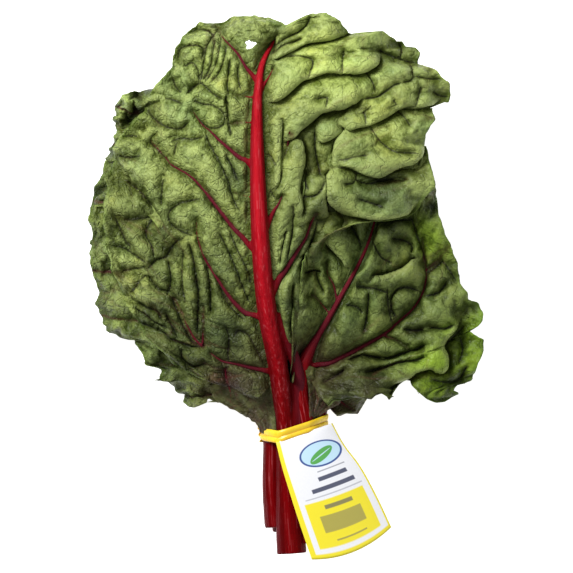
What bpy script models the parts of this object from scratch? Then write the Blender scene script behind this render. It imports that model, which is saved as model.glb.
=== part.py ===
"""A bunch of red Swiss chard: eight leaves on crimson stalks, held by a twist tie with a tag.

The bunch lies on its back leaves, with its cut stalks towards -Y and its leaf tips towards +Y.
A leaf is two nodes: the green blade, and the crimson stalk that runs on as midrib and side veins
along the blade's back. Sizes and places are millimetres here, and each mesh is made in metres.
"""

import math
from dataclasses import dataclass

import bmesh
import bpy
import numpy as np
from mathutils import Vector
from mathutils.geometry import convex_hull_2d

MM = 0.001
FACE_UP = 1.0
FACE_DOWN = -1.0

BLADE_THICKNESS = 0.8
TOUCHING_GAP = 0.4
VEIN_GAP = 0.7
TIP_GAP = 1.1  # more room under the midrib where it ends
FLANGE = 1.2  # flat strip of blade beside the midrib
MIDRIB_AT_TIP = 0.17  # share of the stalk's width and height left at the midrib's end
RIB_SIDES = 8
STALK_SECTIONS = 7
ROWS_PER_PANEL = 3
RIB_SINKS_IN = 1.4

TIE_Y = -111.0
TIE_SLOPE = 0.326
TIE_BEND = (-10.0, 0.7)  # where the band turns up at the left, and how much steeper it runs there
TIE_WIDTH = 8.0
TIE_THICKNESS = 1.3
TIE_CORNER_STEPS = 3
TWIST_LENGTH = 13.0
TWIST_TURNS = 1.0
TWIST_STEPS = 8

TAG_THICKNESS = 0.7
TAG_STEPS = 10

GREEN = (0.13, 0.19, 0.05, 1.0)
CRIMSON = (0.42, 0.005, 0.012, 1.0)
YELLOW = (0.87, 0.6, 0.03, 1.0)
WHITE = (0.86, 0.87, 0.9, 1.0)


@dataclass
class Leaf:
    """One leaf: its curves, in millimetres, and how its blade swells and waves.

    back      which way the ribbed back of the leaf faces, up or down
    spine     centre line from the stalk's cut end to the end of the midrib, on the blade's side of it
    blade_y   Y of the place on the spine where the blade starts
    stalk     width and height of the stalk
    left      panels' edges on the left of the midrib: (share of the midrib's length, end at the margin)
    right     the same, on the right. Both start at the blade's base, and share the last end, the tip
    tip       where the line from the midrib's end meets the margin
    puff      how far the blade swells towards its back between side veins, left and right
    ruffle    how far the margin waves up and down
    sweep     how far side veins bow back before they turn to the tip, left and right, as a share of their length
    vein      width and height of a side vein at its root
    taper     how late the midrib narrows: 1 for an even taper, more to stay wide for longer
    plain_edges  panel edges without a side vein, as (0 left or 1 right, number)
    columns   steps from midrib to margin
    seed      chooses the waves of the margin
    """

    name: str
    back: float
    spine: tuple
    blade_y: float
    stalk: tuple
    left: tuple
    right: tuple
    tip: tuple
    puff: tuple = (4.5, 4.5)
    ruffle: float = 4.0
    sweep: tuple = (0.08, 0.08)
    vein: tuple = (3.2, 2.0)
    taper: float = 1.3
    plain_edges: tuple = ()
    columns: int = 7
    seed: int = 1


LEAVES = (
    Leaf(
        name="front_leaf",
        back=FACE_UP,
        spine=((4, -201, 30.4), (0.5, -150, 30.4), (-1, -106, 30.8), (-6, -62, 43), (-15, -14, 59), (-20, 45, 69),
               (-22, 120, 69), (-19, 162, 64), (-9, 184, 58)),
        blade_y=-74,
        stalk=(15.0, 9.0),
        left=((0.0, (-22, -84, 36)), (0.04, (-86, -58, 34)), (0.10, (-120, -14, 33)), (0.15, (-136, 36, 33)),
              (0.21, (-134, 84, 36)), (0.41, (-124, 124, 40)), (0.64, (-90, 164, 45)), (0.86, (-76, 192, 48)),
              (0.95, (-34, 205, 49))),
        right=((0.0, (5.5, -66, 45.5)), (0.10, (10, -36, 53)), (0.20, (22, 6, 58)), (0.29, (40, 44, 61)),
               (0.42, (100, 57, 56)), (0.55, (105, 108, 55)), (0.70, (125, 145, 54)), (0.84, (92, 184, 55)),
               (0.95, (40, 205, 54))),
        tip=(-2, 195, 52),
        puff=(5.0, 6.5),
        ruffle=5.0,
        sweep=(0.12, -0.10),
        vein=(4.2, 2.4),
        taper=2.6,
        plain_edges=((0, 8), (1, 8)),
        columns=8,
        seed=3,
    ),
    Leaf(
        name="right_leaf",
        back=FACE_UP,
        spine=((19.5, -193, 30.2), (16.2, -150, 30.2), (14.7, -106, 30.4), (11, -64, 33.4), (36, -16, 43),
               (61, 32, 45), (74, 86, 43)),
        blade_y=-70,
        stalk=(14.2, 9.0),
        left=((0.0, (4.6, -56, 38)), (0.10, (6, -28, 42)), (0.26, (16, 20, 45)), (0.44, (24, 62, 46)),
              (0.60, (34, 98, 45)), (0.76, (52, 122, 42)), (0.90, (70, 130, 39))),
        right=((0.0, (32, -90, 33)), (0.015, (84, -74, 25)), (0.03, (118, -86, 18)), (0.05, (150, -40, 16)),
               (0.10, (131, 6, 22)), (0.42, (118, 56, 29)), (0.72, (112, 92, 33))),
        tip=(90, 122, 37),
        puff=(4.0, 5.0),
        ruffle=4.0,
        sweep=(0.06, 0.10),
        vein=(4.6, 2.4),
        taper=0.6,
        plain_edges=((1, 1), (1, 2)),
        seed=5,
    ),
    Leaf(
        name="top_leaf",
        back=FACE_UP,
        spine=((6.8, -194, 20.4), (6, -150, 20.4), (4.8, -106, 20.4), (-4.6, -60, 26.2), (-18, 0, 42), (-44, 70, 47),
               (-70, 124, 42), (-84, 150, 35)),
        blade_y=-50,
        stalk=(14.0, 8.6),
        left=((0.0, (-14, -50, 31)), (0.12, (-48, -14, 35)), (0.34, (-88, 34, 31)), (0.52, (-120, 76, 26)),
              (0.70, (-133, 108, 24)), (0.86, (-130, 136, 24))),
        right=((0.0, (9, -36, 36)), (0.14, (10, 0, 43)), (0.34, (14, 60, 50)), (0.52, (6, 112, 50)),
               (0.70, (-10, 152, 46)), (0.86, (-44, 176, 40))),
        tip=(-94, 163, 32),
        seed=8,
    ),
    Leaf(
        name="left_leaf",
        back=FACE_UP,
        spine=((-8, -182, 20), (-10.5, -150, 20), (-12, -106, 20.2), (-23, -78, 24), (-48, -50, 26), (-80, -14, 24.5),
               (-104, 22, 21), (-120, 52, 18)),
        blade_y=-90,
        stalk=(13.8, 8.6),
        left=((0.0, (-32, -101, 19)), (0.05, (-56, -94, 15)), (0.14, (-82, -84, 12)), (0.30, (-104, -58, 10)),
              (0.52, (-142, -22, 9)), (0.76, (-149, 12, 11))),
        right=((0.0, (-13, -72, 25.5)), (0.12, (-17, -46, 28)), (0.32, (-30, -8, 28)), (0.52, (-56, 24, 26)),
               (0.72, (-80, 52, 24)), (0.88, (-102, 76, 21))),
        tip=(-144, 60, 13),
        puff=(3.5, 3.0),
        ruffle=3.5,
        seed=11,
    ),
    Leaf(
        name="inner_leaf",
        back=FACE_UP,
        spine=((-4, -186, 10.3), (-4.5, -150, 10.3), (-5, -106, 10.3), (-20, -50, 15), (-56, 10, 16), (-92, 66, 15),
               (-112, 98, 12)),
        blade_y=-66,
        stalk=(14.0, 8.4),
        left=((0.0, (-30, -70, 13)), (0.14, (-62, -52, 10)), (0.34, (-104, -20, 6)), (0.54, (-143, 26, 5)),
              (0.74, (-149, 66, 6))),
        right=((0.0, (-7, -46, 17)), (0.18, (-9, 0, 19)), (0.40, (-24, 56, 20)), (0.62, (-54, 104, 19)),
               (0.84, (-88, 132, 15))),
        tip=(-134, 120, 10),
        puff=(3.0, 3.0),
        ruffle=2.5,
        seed=13,
    ),
    Leaf(
        name="low_right_leaf",
        back=FACE_UP,
        spine=((22, -178, 20), (23, -150, 20), (23.4, -106, 20), (24.2, -93, 20.2), (30, -80, 21.4), (48, -56, 23), (80, -24, 23),
               (104, 6, 20), (116, 26, 17)),
        blade_y=-90,
        stalk=(14.0, 8.6),
        left=((0.0, (19, -74, 22)), (0.14, (22, -44, 26)), (0.34, (36, -4, 29)), (0.56, (60, 26, 29)),
              (0.80, (90, 48, 25))),
        right=((0.0, (38, -98, 18)), (0.08, (58, -97, 14)), (0.26, (74, -80, 11)), (0.48, (110, -58, 8)),
               (0.76, (136, -14, 9))),
        tip=(124, 46, 14),
        puff=(3.0, 3.0),
        ruffle=3.0,
        seed=17,
    ),
    Leaf(
        name="back_right_leaf",
        back=FACE_DOWN,
        spine=((13, -190, 19.9), (13.4, -150, 19.9), (13.8, -106, 19.7), (22, -60, 15), (42, 0, 12), (60, 60, 11),
               (66, 116, 10), (66, 142, 8.5)),
        blade_y=-72,
        stalk=(14.0, 8.4),
        left=((0.0, (10, -62, 16)), (0.18, (14, -14, 13)), (0.40, (18, 44, 10)), (0.62, (24, 98, 7)),
              (0.84, (38, 146, 4))),
        right=((0.0, (36, -72, 13)), (0.16, (76, -56, 4)), (0.38, (112, -20, 1)), (0.60, (116, 44, 1)),
               (0.82, (106, 110, 1))),
        tip=(74, 172, 3),
        puff=(2.5, 3.0),
        ruffle=3.0,
        seed=19,
    ),
    Leaf(
        name="back_left_leaf",
        back=FACE_DOWN,
        spine=((4, -194, 10.7), (4, -150, 10.7), (4, -106, 10.7), (-8, -60, 10.4), (-28, 0, 9.6), (-42, 70, 9),
               (-48, 132, 8.5), (-50, 156, 8)),
        blade_y=-62,
        stalk=(14.0, 8.4),
        left=((0.0, (-24, -56, 8)), (0.18, (-64, -30, 2)), (0.40, (-106, 24, 1)), (0.62, (-120, 84, 1)),
              (0.84, (-98, 140, 1))),
        right=((0.0, (5, -48, 10)), (0.18, (6, 6, 8)), (0.40, (8, 66, 6)), (0.62, (2, 122, 4)),
               (0.84, (-18, 168, 3))),
        tip=(-58, 184, 4),
        puff=(2.5, 2.5),
        ruffle=2.5,
        seed=23,
    ),
)


def smooth_through(points, places):
    """A smooth curve through the points, read at places counted 0 at the first point, 1 at the second."""
    points = np.asarray(points, float)
    held = np.vstack([2 * points[0] - points[1], points, 2 * points[-1] - points[-2]])
    span = np.clip(np.floor(places).astype(int), 0, len(points) - 2)
    t = (np.asarray(places, float) - span)[:, None]
    a, b, c, d = (held[span + k] for k in range(4))
    return 0.5 * (2 * b + (c - a) * t + (2 * a - 5 * b + 4 * c - d) * t**2 + (3 * b - a - 3 * c + d) * t**3)


def unit(vectors):
    return vectors / np.linalg.norm(vectors, axis=-1, keepdims=True)


def ease(x):
    """0 to 1, flat at both ends."""
    x = np.clip(x, 0.0, 1.0)
    return x * x * (3 - 2 * x)


class Spine:
    """A leaf's centre line, read by the length along it from the cut end."""

    STEPS = 400

    def __init__(self, leaf):
        self.points = smooth_through(leaf.spine, np.linspace(0, len(leaf.spine) - 1, self.STEPS))
        steps = np.linalg.norm(np.diff(self.points, axis=0), axis=1)
        self.lengths = np.concatenate([[0.0], np.cumsum(steps)])
        self.total = self.lengths[-1]
        self.base = float(np.interp(leaf.blade_y, self.points[:, 1], self.lengths))
        self.leaf = leaf

    def at(self, lengths):
        return np.column_stack([np.interp(lengths, self.lengths, self.points[:, k]) for k in range(3)])

    def on_midrib(self, shares):
        """Lengths along the spine for shares of the midrib: 0 at the blade's base, 1 at the midrib's end."""
        return self.base + np.asarray(shares, float) * (self.total - self.base)

    def directions(self, lengths):
        """Along the spine, and level to its right."""
        along = unit(self.at(lengths + 1.5) - self.at(lengths - 1.5))
        across = unit(np.cross(along, [0.0, 0.0, 1.0]))
        return along, across

    def rib_size(self, lengths):
        """Width and height of the stalk, and of the midrib that it tapers into."""
        share = np.clip((lengths - self.base) / (self.total - self.base), 0.0, 1.0)
        left_over = 1 - (1 - MIDRIB_AT_TIP) * share**self.leaf.taper
        return self.leaf.stalk[0] * left_over, self.leaf.stalk[1] * left_over**1.15


def margin_wave(seed, side, places):
    """Up and down waves of a blade's margin, between about -1 and 1."""
    draw = np.random.default_rng([seed, int(side > 0)])
    total = np.zeros_like(places)
    for waves_per_panel in (0.37, 0.61, 0.93):
        total += np.sin(2 * math.pi * (waves_per_panel * places + draw.random())) / 2
    return total


def half_blade(leaf, spine, side, rows):
    """The blade's middle surface on one side of the midrib, as rows from base to tip by columns outwards."""
    edges = leaf.left if side < 0 else leaf.right
    shares = [share for share, _ in edges] + [1.0]
    ends = smooth_through([end for _, end in edges] + [leaf.tip], rows)
    roots = spine.on_midrib(np.interp(rows, range(len(shares)), shares))
    along, across = spine.directions(roots)
    flange = spine.rib_size(roots)[0] / 2 + FLANGE
    # Past the midrib's end the flange turns from sideways to straight ahead.
    ahead = ease((rows - rows[-1] + 1) / 1.0)[:, None]
    outwards = unit(across * side * (1 - ahead) + along * ahead)
    start = spine.at(roots) + outwards * flange[:, None]

    out = np.linspace(0, 1, leaf.columns)[None, :, None]
    reach = np.linalg.norm(ends - start, axis=1)[:, None]
    surface = start[:, None] + (ends - start)[:, None] * out
    surface[..., 2] = start[:, None, 2] + (ends - start)[:, None, 2] * out[..., 0] ** 1.4
    bow = leaf.sweep[int(side > 0)] * reach * (4 * out[..., 0] * (1 - out[..., 0])) * np.sin(math.pi * rows / rows[-1])[:, None]
    surface[..., :2] -= bow[..., None] * along[:, None, :2]

    out = out[..., 0]
    room = ease(reach / 45)
    swell = np.abs(np.sin(math.pi * rows))[:, None] ** 0.7 * ease(out / 0.3) * (1 - 0.4 * out)
    surface[..., 2] += leaf.back * leaf.puff[int(side > 0)] * room * swell
    surface[..., 2] += leaf.ruffle * room * out**2 * margin_wave(leaf.seed, side, rows)[:, None]
    surface[..., 2] = np.maximum(surface[..., 2], BLADE_THICKNESS / 2)
    return surface


def new_object(name, points, faces, material):
    """A mesh object from points in millimetres, with its faces triangulated and facing out."""
    mesh = bpy.data.meshes.new(name)
    mesh.from_pydata([Vector(p) * MM for p in points], [], faces)
    work = bmesh.new()
    work.from_mesh(mesh)
    bmesh.ops.triangulate(work, faces=work.faces[:])
    bmesh.ops.recalc_face_normals(work, faces=work.faces[:])
    work.to_mesh(mesh)
    work.free()
    mesh.materials.append(material)
    made = bpy.data.objects.new(name, mesh)
    bpy.context.scene.collection.objects.link(made)
    return made


def new_material(name, colour, roughness):
    material = bpy.data.materials.new(name)
    material.use_nodes = True
    shader = material.node_tree.nodes["Principled BSDF"]
    shader.inputs["Base Color"].default_value = colour
    shader.inputs["Roughness"].default_value = roughness
    shader.inputs["Metallic"].default_value = 0.0
    return material


def give_thickness(sheet, thickness):
    solidify = sheet.modifiers.new("Thickness", "SOLIDIFY")
    solidify.thickness = thickness * MM
    solidify.offset = 0.0


def strips(grid_a, grid_b):
    """Four-sided faces between two rows of vertex numbers."""
    return [(grid_a[k], grid_a[k + 1], grid_b[k + 1], grid_b[k]) for k in range(len(grid_a) - 1)]


def panel_rows(leaf):
    panels = len(leaf.left)
    return np.linspace(0, panels, panels * ROWS_PER_PANEL + 1)


def make_blade(leaf, spine, halves, rows, material):
    """The blade, one sheet: a strip along the midrib, with a half blade on each side of it."""
    shares = [np.interp(rows, range(len(rows) // ROWS_PER_PANEL + 1), [s for s, _ in side] + [1.0])
              for side in (leaf.left, leaf.right)]
    middle = spine.at(spine.on_midrib((shares[0] + shares[1]) / 2))
    columns = leaf.columns
    points = [*middle, *halves[0].reshape(-1, 3), *halves[1][:-1].reshape(-1, 3)]
    left = len(rows)
    right = left + len(rows) * columns
    faces = []
    for row in range(len(rows) - 1):
        for start, way in ((left, 1), (right, -1)):
            lower = [row] + [start + row * columns + k for k in range(columns)]
            next_start = left if row == len(rows) - 2 else start  # both sides share the last row
            upper = [row + 1] + [next_start + (row + 1) * columns + k for k in range(columns)]
            faces += strips(lower, upper) if way > 0 else strips(upper, lower)
    blade = new_object(f"{leaf.name}_blade", points, faces, material)
    give_thickness(blade, BLADE_THICKNESS)
    return blade


def closed_loft(name, rings, material):
    """A closed body through rings of points, capped at both ends."""
    count = len(rings[0])
    faces = [list(range(count))]
    for ring in range(len(rings) - 1):
        for k in range(count):
            near, far = ring * count, (ring + 1) * count
            faces.append((near + k, near + (k + 1) % count, far + (k + 1) % count, far + k))
    faces.append(list(range((len(rings) - 1) * count, len(rings) * count)))
    return new_object(name, [p for ring in rings for p in ring], faces, material)


def stalk_rings(leaf, spine):
    """Cross-sections of stalk and midrib: flat where the blade lies against them, domed on the leaf's back."""
    stalk = np.linspace(0, spine.base, STALK_SECTIONS, endpoint=False)
    midrib = spine.on_midrib(np.linspace(0, 1, 2 * len(leaf.left) + 4))
    lengths = np.concatenate([stalk, midrib])
    centres = spine.at(lengths)
    along, across = spine.directions(lengths)
    outwards = unit(np.cross(across, along)) * leaf.back
    width, height = spine.rib_size(lengths)
    lift = TOUCHING_GAP + BLADE_THICKNESS / 2 + TIP_GAP * ease((lengths - spine.on_midrib(0.8)) / 25)
    angles = np.linspace(0, math.pi, RIB_SIDES)
    rings = []
    for k in range(len(lengths)):
        sideways = np.cos(angles) * width[k] / 2
        upwards = lift[k] + np.sin(angles) ** 0.8 * height[k]
        rings.append([centres[k] + across[k] * s + outwards[k] * u for s, u in zip(sideways, upwards)])
    return rings


def vein_rings(leaf, spine, half, edge, share):
    """Cross-sections of the side vein that runs along a panel's edge of the half blade, on the leaf's back."""
    width, height = leaf.vein
    row = edge * ROWS_PER_PANEL
    end = max(3, round(leaf.columns * 0.72))
    up = np.array([0.0, 0.0, leaf.back])
    rings = []
    root = spine.on_midrib([share])
    inside = spine.at(root)[0] + up * (RIB_SINKS_IN + BLADE_THICKNESS / 2 + TOUCHING_GAP)
    along = unit(half[row + 1, 0] - half[row - 1, 0])
    reach = spine.rib_size(root)[1][0] * 0.35
    rings.append([inside - along * width / 2, inside + along * width / 2, inside + up * reach])
    for column in range(end):
        centre = half[row, column]
        taper = 1 - 0.7 * column / end
        to_last, to_next = half[row - 1, column] - centre, half[row + 1, column] - centre
        # The blade's four-sided faces are cut into triangles, so where they're twisted they stand higher.
        near = half[row - 1 : row + 2, max(column - 1, 0) : column + 2, 2]
        twist = np.abs(np.diff(np.diff(near, axis=0), axis=1)).max()
        lift = up * (VEIN_GAP + 0.25 * twist + BLADE_THICKNESS / 2)
        feet = [centre + lift + to * min(0.3, width * taper / 2 / np.linalg.norm(to)) for to in (to_last, to_next)]
        rings.append([*feet, centre + lift + up * height * taper])
    return rings


def make_stalk(leaf, spine, halves, material):
    """The stalk with its midrib, and the side veins joined to it, as one crimson body."""
    stalk = closed_loft(f"{leaf.name}_stalk", stalk_rings(leaf, spine), material)
    veins = bpy.data.collections.new(f"{leaf.name}_veins")
    bpy.context.scene.collection.children.link(veins)
    for side, half in enumerate(halves):
        for edge in range(1, len(leaf.left)):
            if (side, edge) in leaf.plain_edges:
                continue
            rings = vein_rings(leaf, spine, half, edge, (leaf.left, leaf.right)[side][edge][0])
            vein = closed_loft(f"{leaf.name}_vein", rings, material)
            bpy.context.scene.collection.objects.unlink(vein)
            veins.objects.link(vein)
    join = stalk.modifiers.new("Join the veins", "BOOLEAN")
    join.operation = "UNION"
    join.operand_type = "COLLECTION"
    join.collection = veins
    join.solver = "EXACT"
    bpy.context.view_layer.objects.active = stalk
    bpy.ops.object.modifier_apply(modifier=join.name)
    for vein in list(veins.objects):
        bpy.data.objects.remove(vein)
    bpy.data.collections.remove(veins)
    return stalk


def make_leaf(leaf, green, crimson):
    spine = Spine(leaf)
    rows = panel_rows(leaf)
    halves = [half_blade(leaf, spine, side, rows) for side in (-1, 1)]
    make_blade(leaf, spine, halves, rows, green)
    make_stalk(leaf, spine, halves, crimson)


def tie_y(x):
    """Y of the middle of the tie's band, which runs aslant."""
    return TIE_Y + TIE_SLOPE * x + TIE_BEND[1] * np.maximum(TIE_BEND[0] - x, 0)


def bundle_outline():
    """The stalks' outer shape where the tie goes round them, as corners in X and Z."""
    corners = []
    for leaf in LEAVES:
        spine = Spine(leaf)
        x = float(np.interp(TIE_Y, spine.points[:, 1], spine.points[:, 0]))
        reach = leaf.stalk[0] / 2
        band = np.add.outer(tie_y(np.array([x - reach, x, x + reach])), np.array([-0.95, 0.0, 0.95]) * TIE_WIDTH).ravel()
        centres = spine.at(np.interp(band, spine.points[:, 1], spine.lengths))
        lift = TOUCHING_GAP + BLADE_THICKNESS / 2
        for angle in np.linspace(0, math.pi, RIB_SIDES):
            for centre in centres:
                z = centre[2] + leaf.back * (lift + math.sin(angle) ** 0.8 * leaf.stalk[1])
                corners.append(Vector((centre[0] + math.cos(angle) * leaf.stalk[0] / 2, z)))
    hull = [corners[k] for k in convex_hull_2d(corners)]
    return [corner for k, corner in enumerate(hull) if (corner - hull[k - 1]).length > 0.7]


def bundle_corners():
    """Points round the bundle's outline, each with the ways that face out of it: many at a corner, to round it."""
    corners = bundle_outline()
    turned = sum(a.x * b.y - b.x * a.y for a, b in zip(corners, corners[1:] + corners[:1])) < 0
    if turned:
        corners.reverse()
    loop = []
    for k, corner in enumerate(corners):
        before, after = corners[k - 1], corners[(k + 1) % len(corners)]
        into, out_of = (corner - before).normalized(), (after - corner).normalized()
        start = math.atan2(-into.x, into.y)
        turn = math.atan2(into.cross(out_of), into.dot(out_of))
        steps = round(TIE_CORNER_STEPS * turn / 0.8)
        for step in range(steps + 1):
            angle = start + turn * (step / steps if steps else 0.5)
            loop.append((corner, Vector((math.cos(angle), math.sin(angle)))))
    return loop


def make_tie(material):
    """The flat band round the stalks, with its two ends twisted together at the bundle's left."""
    loop = bundle_corners()
    inner = [corner + out * TOUCHING_GAP for corner, out in loop]
    outer = [corner + out * (TOUCHING_GAP + TIE_THICKNESS) for corner, out in loop]
    # The band is pressed flat where the bunch lies on it.
    outer = [Vector((p.x, max(p.y, 0.0))) for p in outer]
    count = len(inner)
    points = []
    for loop, half in ((inner, -1), (inner, 1), (outer, 1), (outer, -1)):
        points += [(p.x, tie_y(p.x) + half * TIE_WIDTH / 2, p.y) for p in loop]
    faces = []
    for ring in range(4):
        near, far = ring * count, (ring + 1) % 4 * count
        for k in range(count):
            faces.append((near + k, near + (k + 1) % count, far + (k + 1) % count, far + k))
    tie = new_object("twist_tie", points, faces, material)

    leftmost = min(outer, key=lambda p: p.x)
    rings = []
    for step in range(TWIST_STEPS + 1):
        share = step / TWIST_STEPS
        angle = math.tau * TWIST_TURNS * share
        centre = Vector((leftmost.x - 0.4 + 1.5 * share, tie_y(leftmost.x) - TWIST_LENGTH * share,
                         leftmost.y - 2.0 * share))
        wide = Vector((math.cos(angle), 0, math.sin(angle))) * 2.4
        thin = Vector((-math.sin(angle), 0, math.cos(angle))) * 0.9
        rings.append([centre + wide + thin, centre - wide + thin, centre - wide - thin, centre + wide - thin])
    tail = closed_loft("twist", rings, material)
    join = tie.modifiers.new("Join the twist", "BOOLEAN")
    join.operation = "UNION"
    join.object = tail
    join.solver = "EXACT"
    bpy.context.view_layer.objects.active = tie
    bpy.ops.object.modifier_apply(modifier=join.name)
    bpy.data.objects.remove(tail)


def tag_point(across, down):
    """A point of the tag: across from its left to its right edge, down from the tie to its lower edge."""
    top = Vector((-8.5, -118.8, 0)).lerp(Vector((34, -104.9, 0)), across)
    bottom = Vector((21, -205, 0)).lerp(Vector((78, -182, 0)), across)
    point = top.lerp(bottom, down)
    point += Vector((0.35, -1, 0)) * 4.0 * 4 * across * (1 - across) * down**3
    point.x += 5.5 * math.sin(math.pi * down**0.8) * across
    point.z = 42.3 - 9.0 * across**4 * (1 - down) - 13.0 * across**2 * down + 1.5 * math.sin(math.pi * down)
    return point


def make_tag(material):
    """The tag that hangs from the tie over the stalks: one stiff sheet, curled down at its free corner."""
    places = np.linspace(0, 1, TAG_STEPS + 1)
    points = [tag_point(across, down) for down in places for across in places]
    width = TAG_STEPS + 1
    faces = []
    for row in range(TAG_STEPS):
        upper = [row * width + k for k in range(width)]
        faces += strips(upper, [k + width for k in upper])
    tag = new_object("tag", points, faces, material)
    give_thickness(tag, TAG_THICKNESS)


def clear_scene():
    for old in list(bpy.data.objects):
        bpy.data.objects.remove(old)


def main():
    clear_scene()
    green = new_material("leaf green", GREEN, 0.55)
    crimson = new_material("crimson stalk", CRIMSON, 0.35)
    for leaf in LEAVES:
        make_leaf(leaf, green, crimson)
    make_tie(new_material("yellow tie", YELLOW, 0.4))
    make_tag(new_material("white tag", WHITE, 0.4))


main()
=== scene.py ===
"""A bunch of red Swiss chard: crumpled leaves with their ribbed backs up, crimson stalks, a tie and its tag.

Shapes are worked out in millimetres, in the frame's own axes, and each mesh is made in metres.
"""

import math
from dataclasses import dataclass
from functools import lru_cache

import bmesh
import bpy
import numpy as np
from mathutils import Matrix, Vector
from mathutils.geometry import convex_hull_2d


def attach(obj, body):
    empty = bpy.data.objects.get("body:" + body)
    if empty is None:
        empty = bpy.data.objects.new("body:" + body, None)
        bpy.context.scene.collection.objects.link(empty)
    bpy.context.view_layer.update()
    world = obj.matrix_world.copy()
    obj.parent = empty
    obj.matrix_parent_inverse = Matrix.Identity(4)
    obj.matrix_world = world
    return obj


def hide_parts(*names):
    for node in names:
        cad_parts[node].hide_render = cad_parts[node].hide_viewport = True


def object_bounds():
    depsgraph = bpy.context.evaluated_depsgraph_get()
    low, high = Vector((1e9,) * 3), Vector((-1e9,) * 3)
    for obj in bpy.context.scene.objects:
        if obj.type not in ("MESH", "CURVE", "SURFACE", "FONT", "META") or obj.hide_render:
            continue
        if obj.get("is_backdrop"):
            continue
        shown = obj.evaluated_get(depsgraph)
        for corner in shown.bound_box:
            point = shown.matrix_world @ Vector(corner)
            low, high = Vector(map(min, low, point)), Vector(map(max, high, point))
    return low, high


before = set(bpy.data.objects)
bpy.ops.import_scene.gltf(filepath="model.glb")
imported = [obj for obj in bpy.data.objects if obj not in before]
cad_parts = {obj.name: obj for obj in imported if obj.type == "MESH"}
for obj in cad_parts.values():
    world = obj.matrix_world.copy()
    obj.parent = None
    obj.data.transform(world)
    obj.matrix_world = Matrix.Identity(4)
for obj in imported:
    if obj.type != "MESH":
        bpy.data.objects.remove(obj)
CAD_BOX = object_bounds()

bl_info = {
    "name": "Swiss Chard Bunch",
    "version": (1, 0, 0),
    "blender": (4, 5, 0),
    "location": "View3D > Sidebar > Chard",
    "description": "Leaves, stalks, tie and tag of a bunch of red Swiss chard",
    "category": "Object",
}

MM = 0.001
FACE_UP = 1.0
FACE_DOWN = -1.0
BODY = "root"

FLANGE = 1.2  # flat strip of blade beside the midrib
MIDRIB_AT_TIP = 0.17  # share of the stalk's width and height left at the midrib's end

CEILING = 83.0  # highest that folds grow

TIE_Y = -111.0
TIE_SLOPE = 0.326
TIE_BEND = (-10.0, 0.7)  # where the band turns up at the left, and how much steeper it runs there
TIE_WIDTH = 8.0
TIE_GAP = 0.4


@dataclass
class Leaf:
    """One leaf: its curves, in millimetres, and how its blade swells, waves and crumples.

    back      which way the ribbed back of the leaf faces, up or down
    spine     centre line from the stalk's cut end to the end of the midrib, on the blade's side of it
    blade_y   Y of the place on the spine where the blade starts
    stalk     width and height of the stalk
    left      panels' edges on the left of the midrib: (share of the midrib's length, end at the margin)
    right     the same, on the right. Both start at the blade's base, and share the last end, the tip
    tip       where the line from the midrib's end meets the margin
    puff      how far the blade swells towards its back between side veins, left and right
    ruffle    how far the margin waves up and down
    sweep     how far side veins bow back before they turn to the tip, left and right, as a share of their length
    vein      width and height of a side vein at its root
    taper     how late the midrib narrows: 1 for an even taper, more to stay wide for longer
    plain_edges  panel edges without a side vein, as (0 left or 1 right, number)
    seed      chooses the waves of the margin
    """

    name: str
    back: float
    spine: tuple
    blade_y: float
    stalk: tuple
    left: tuple
    right: tuple
    tip: tuple
    puff: tuple = (4.5, 4.5)
    ruffle: float = 4.0
    sweep: tuple = (0.08, 0.08)
    vein: tuple = (3.2, 2.0)
    taper: float = 1.3
    plain_edges: tuple = ()
    seed: int = 1


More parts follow.
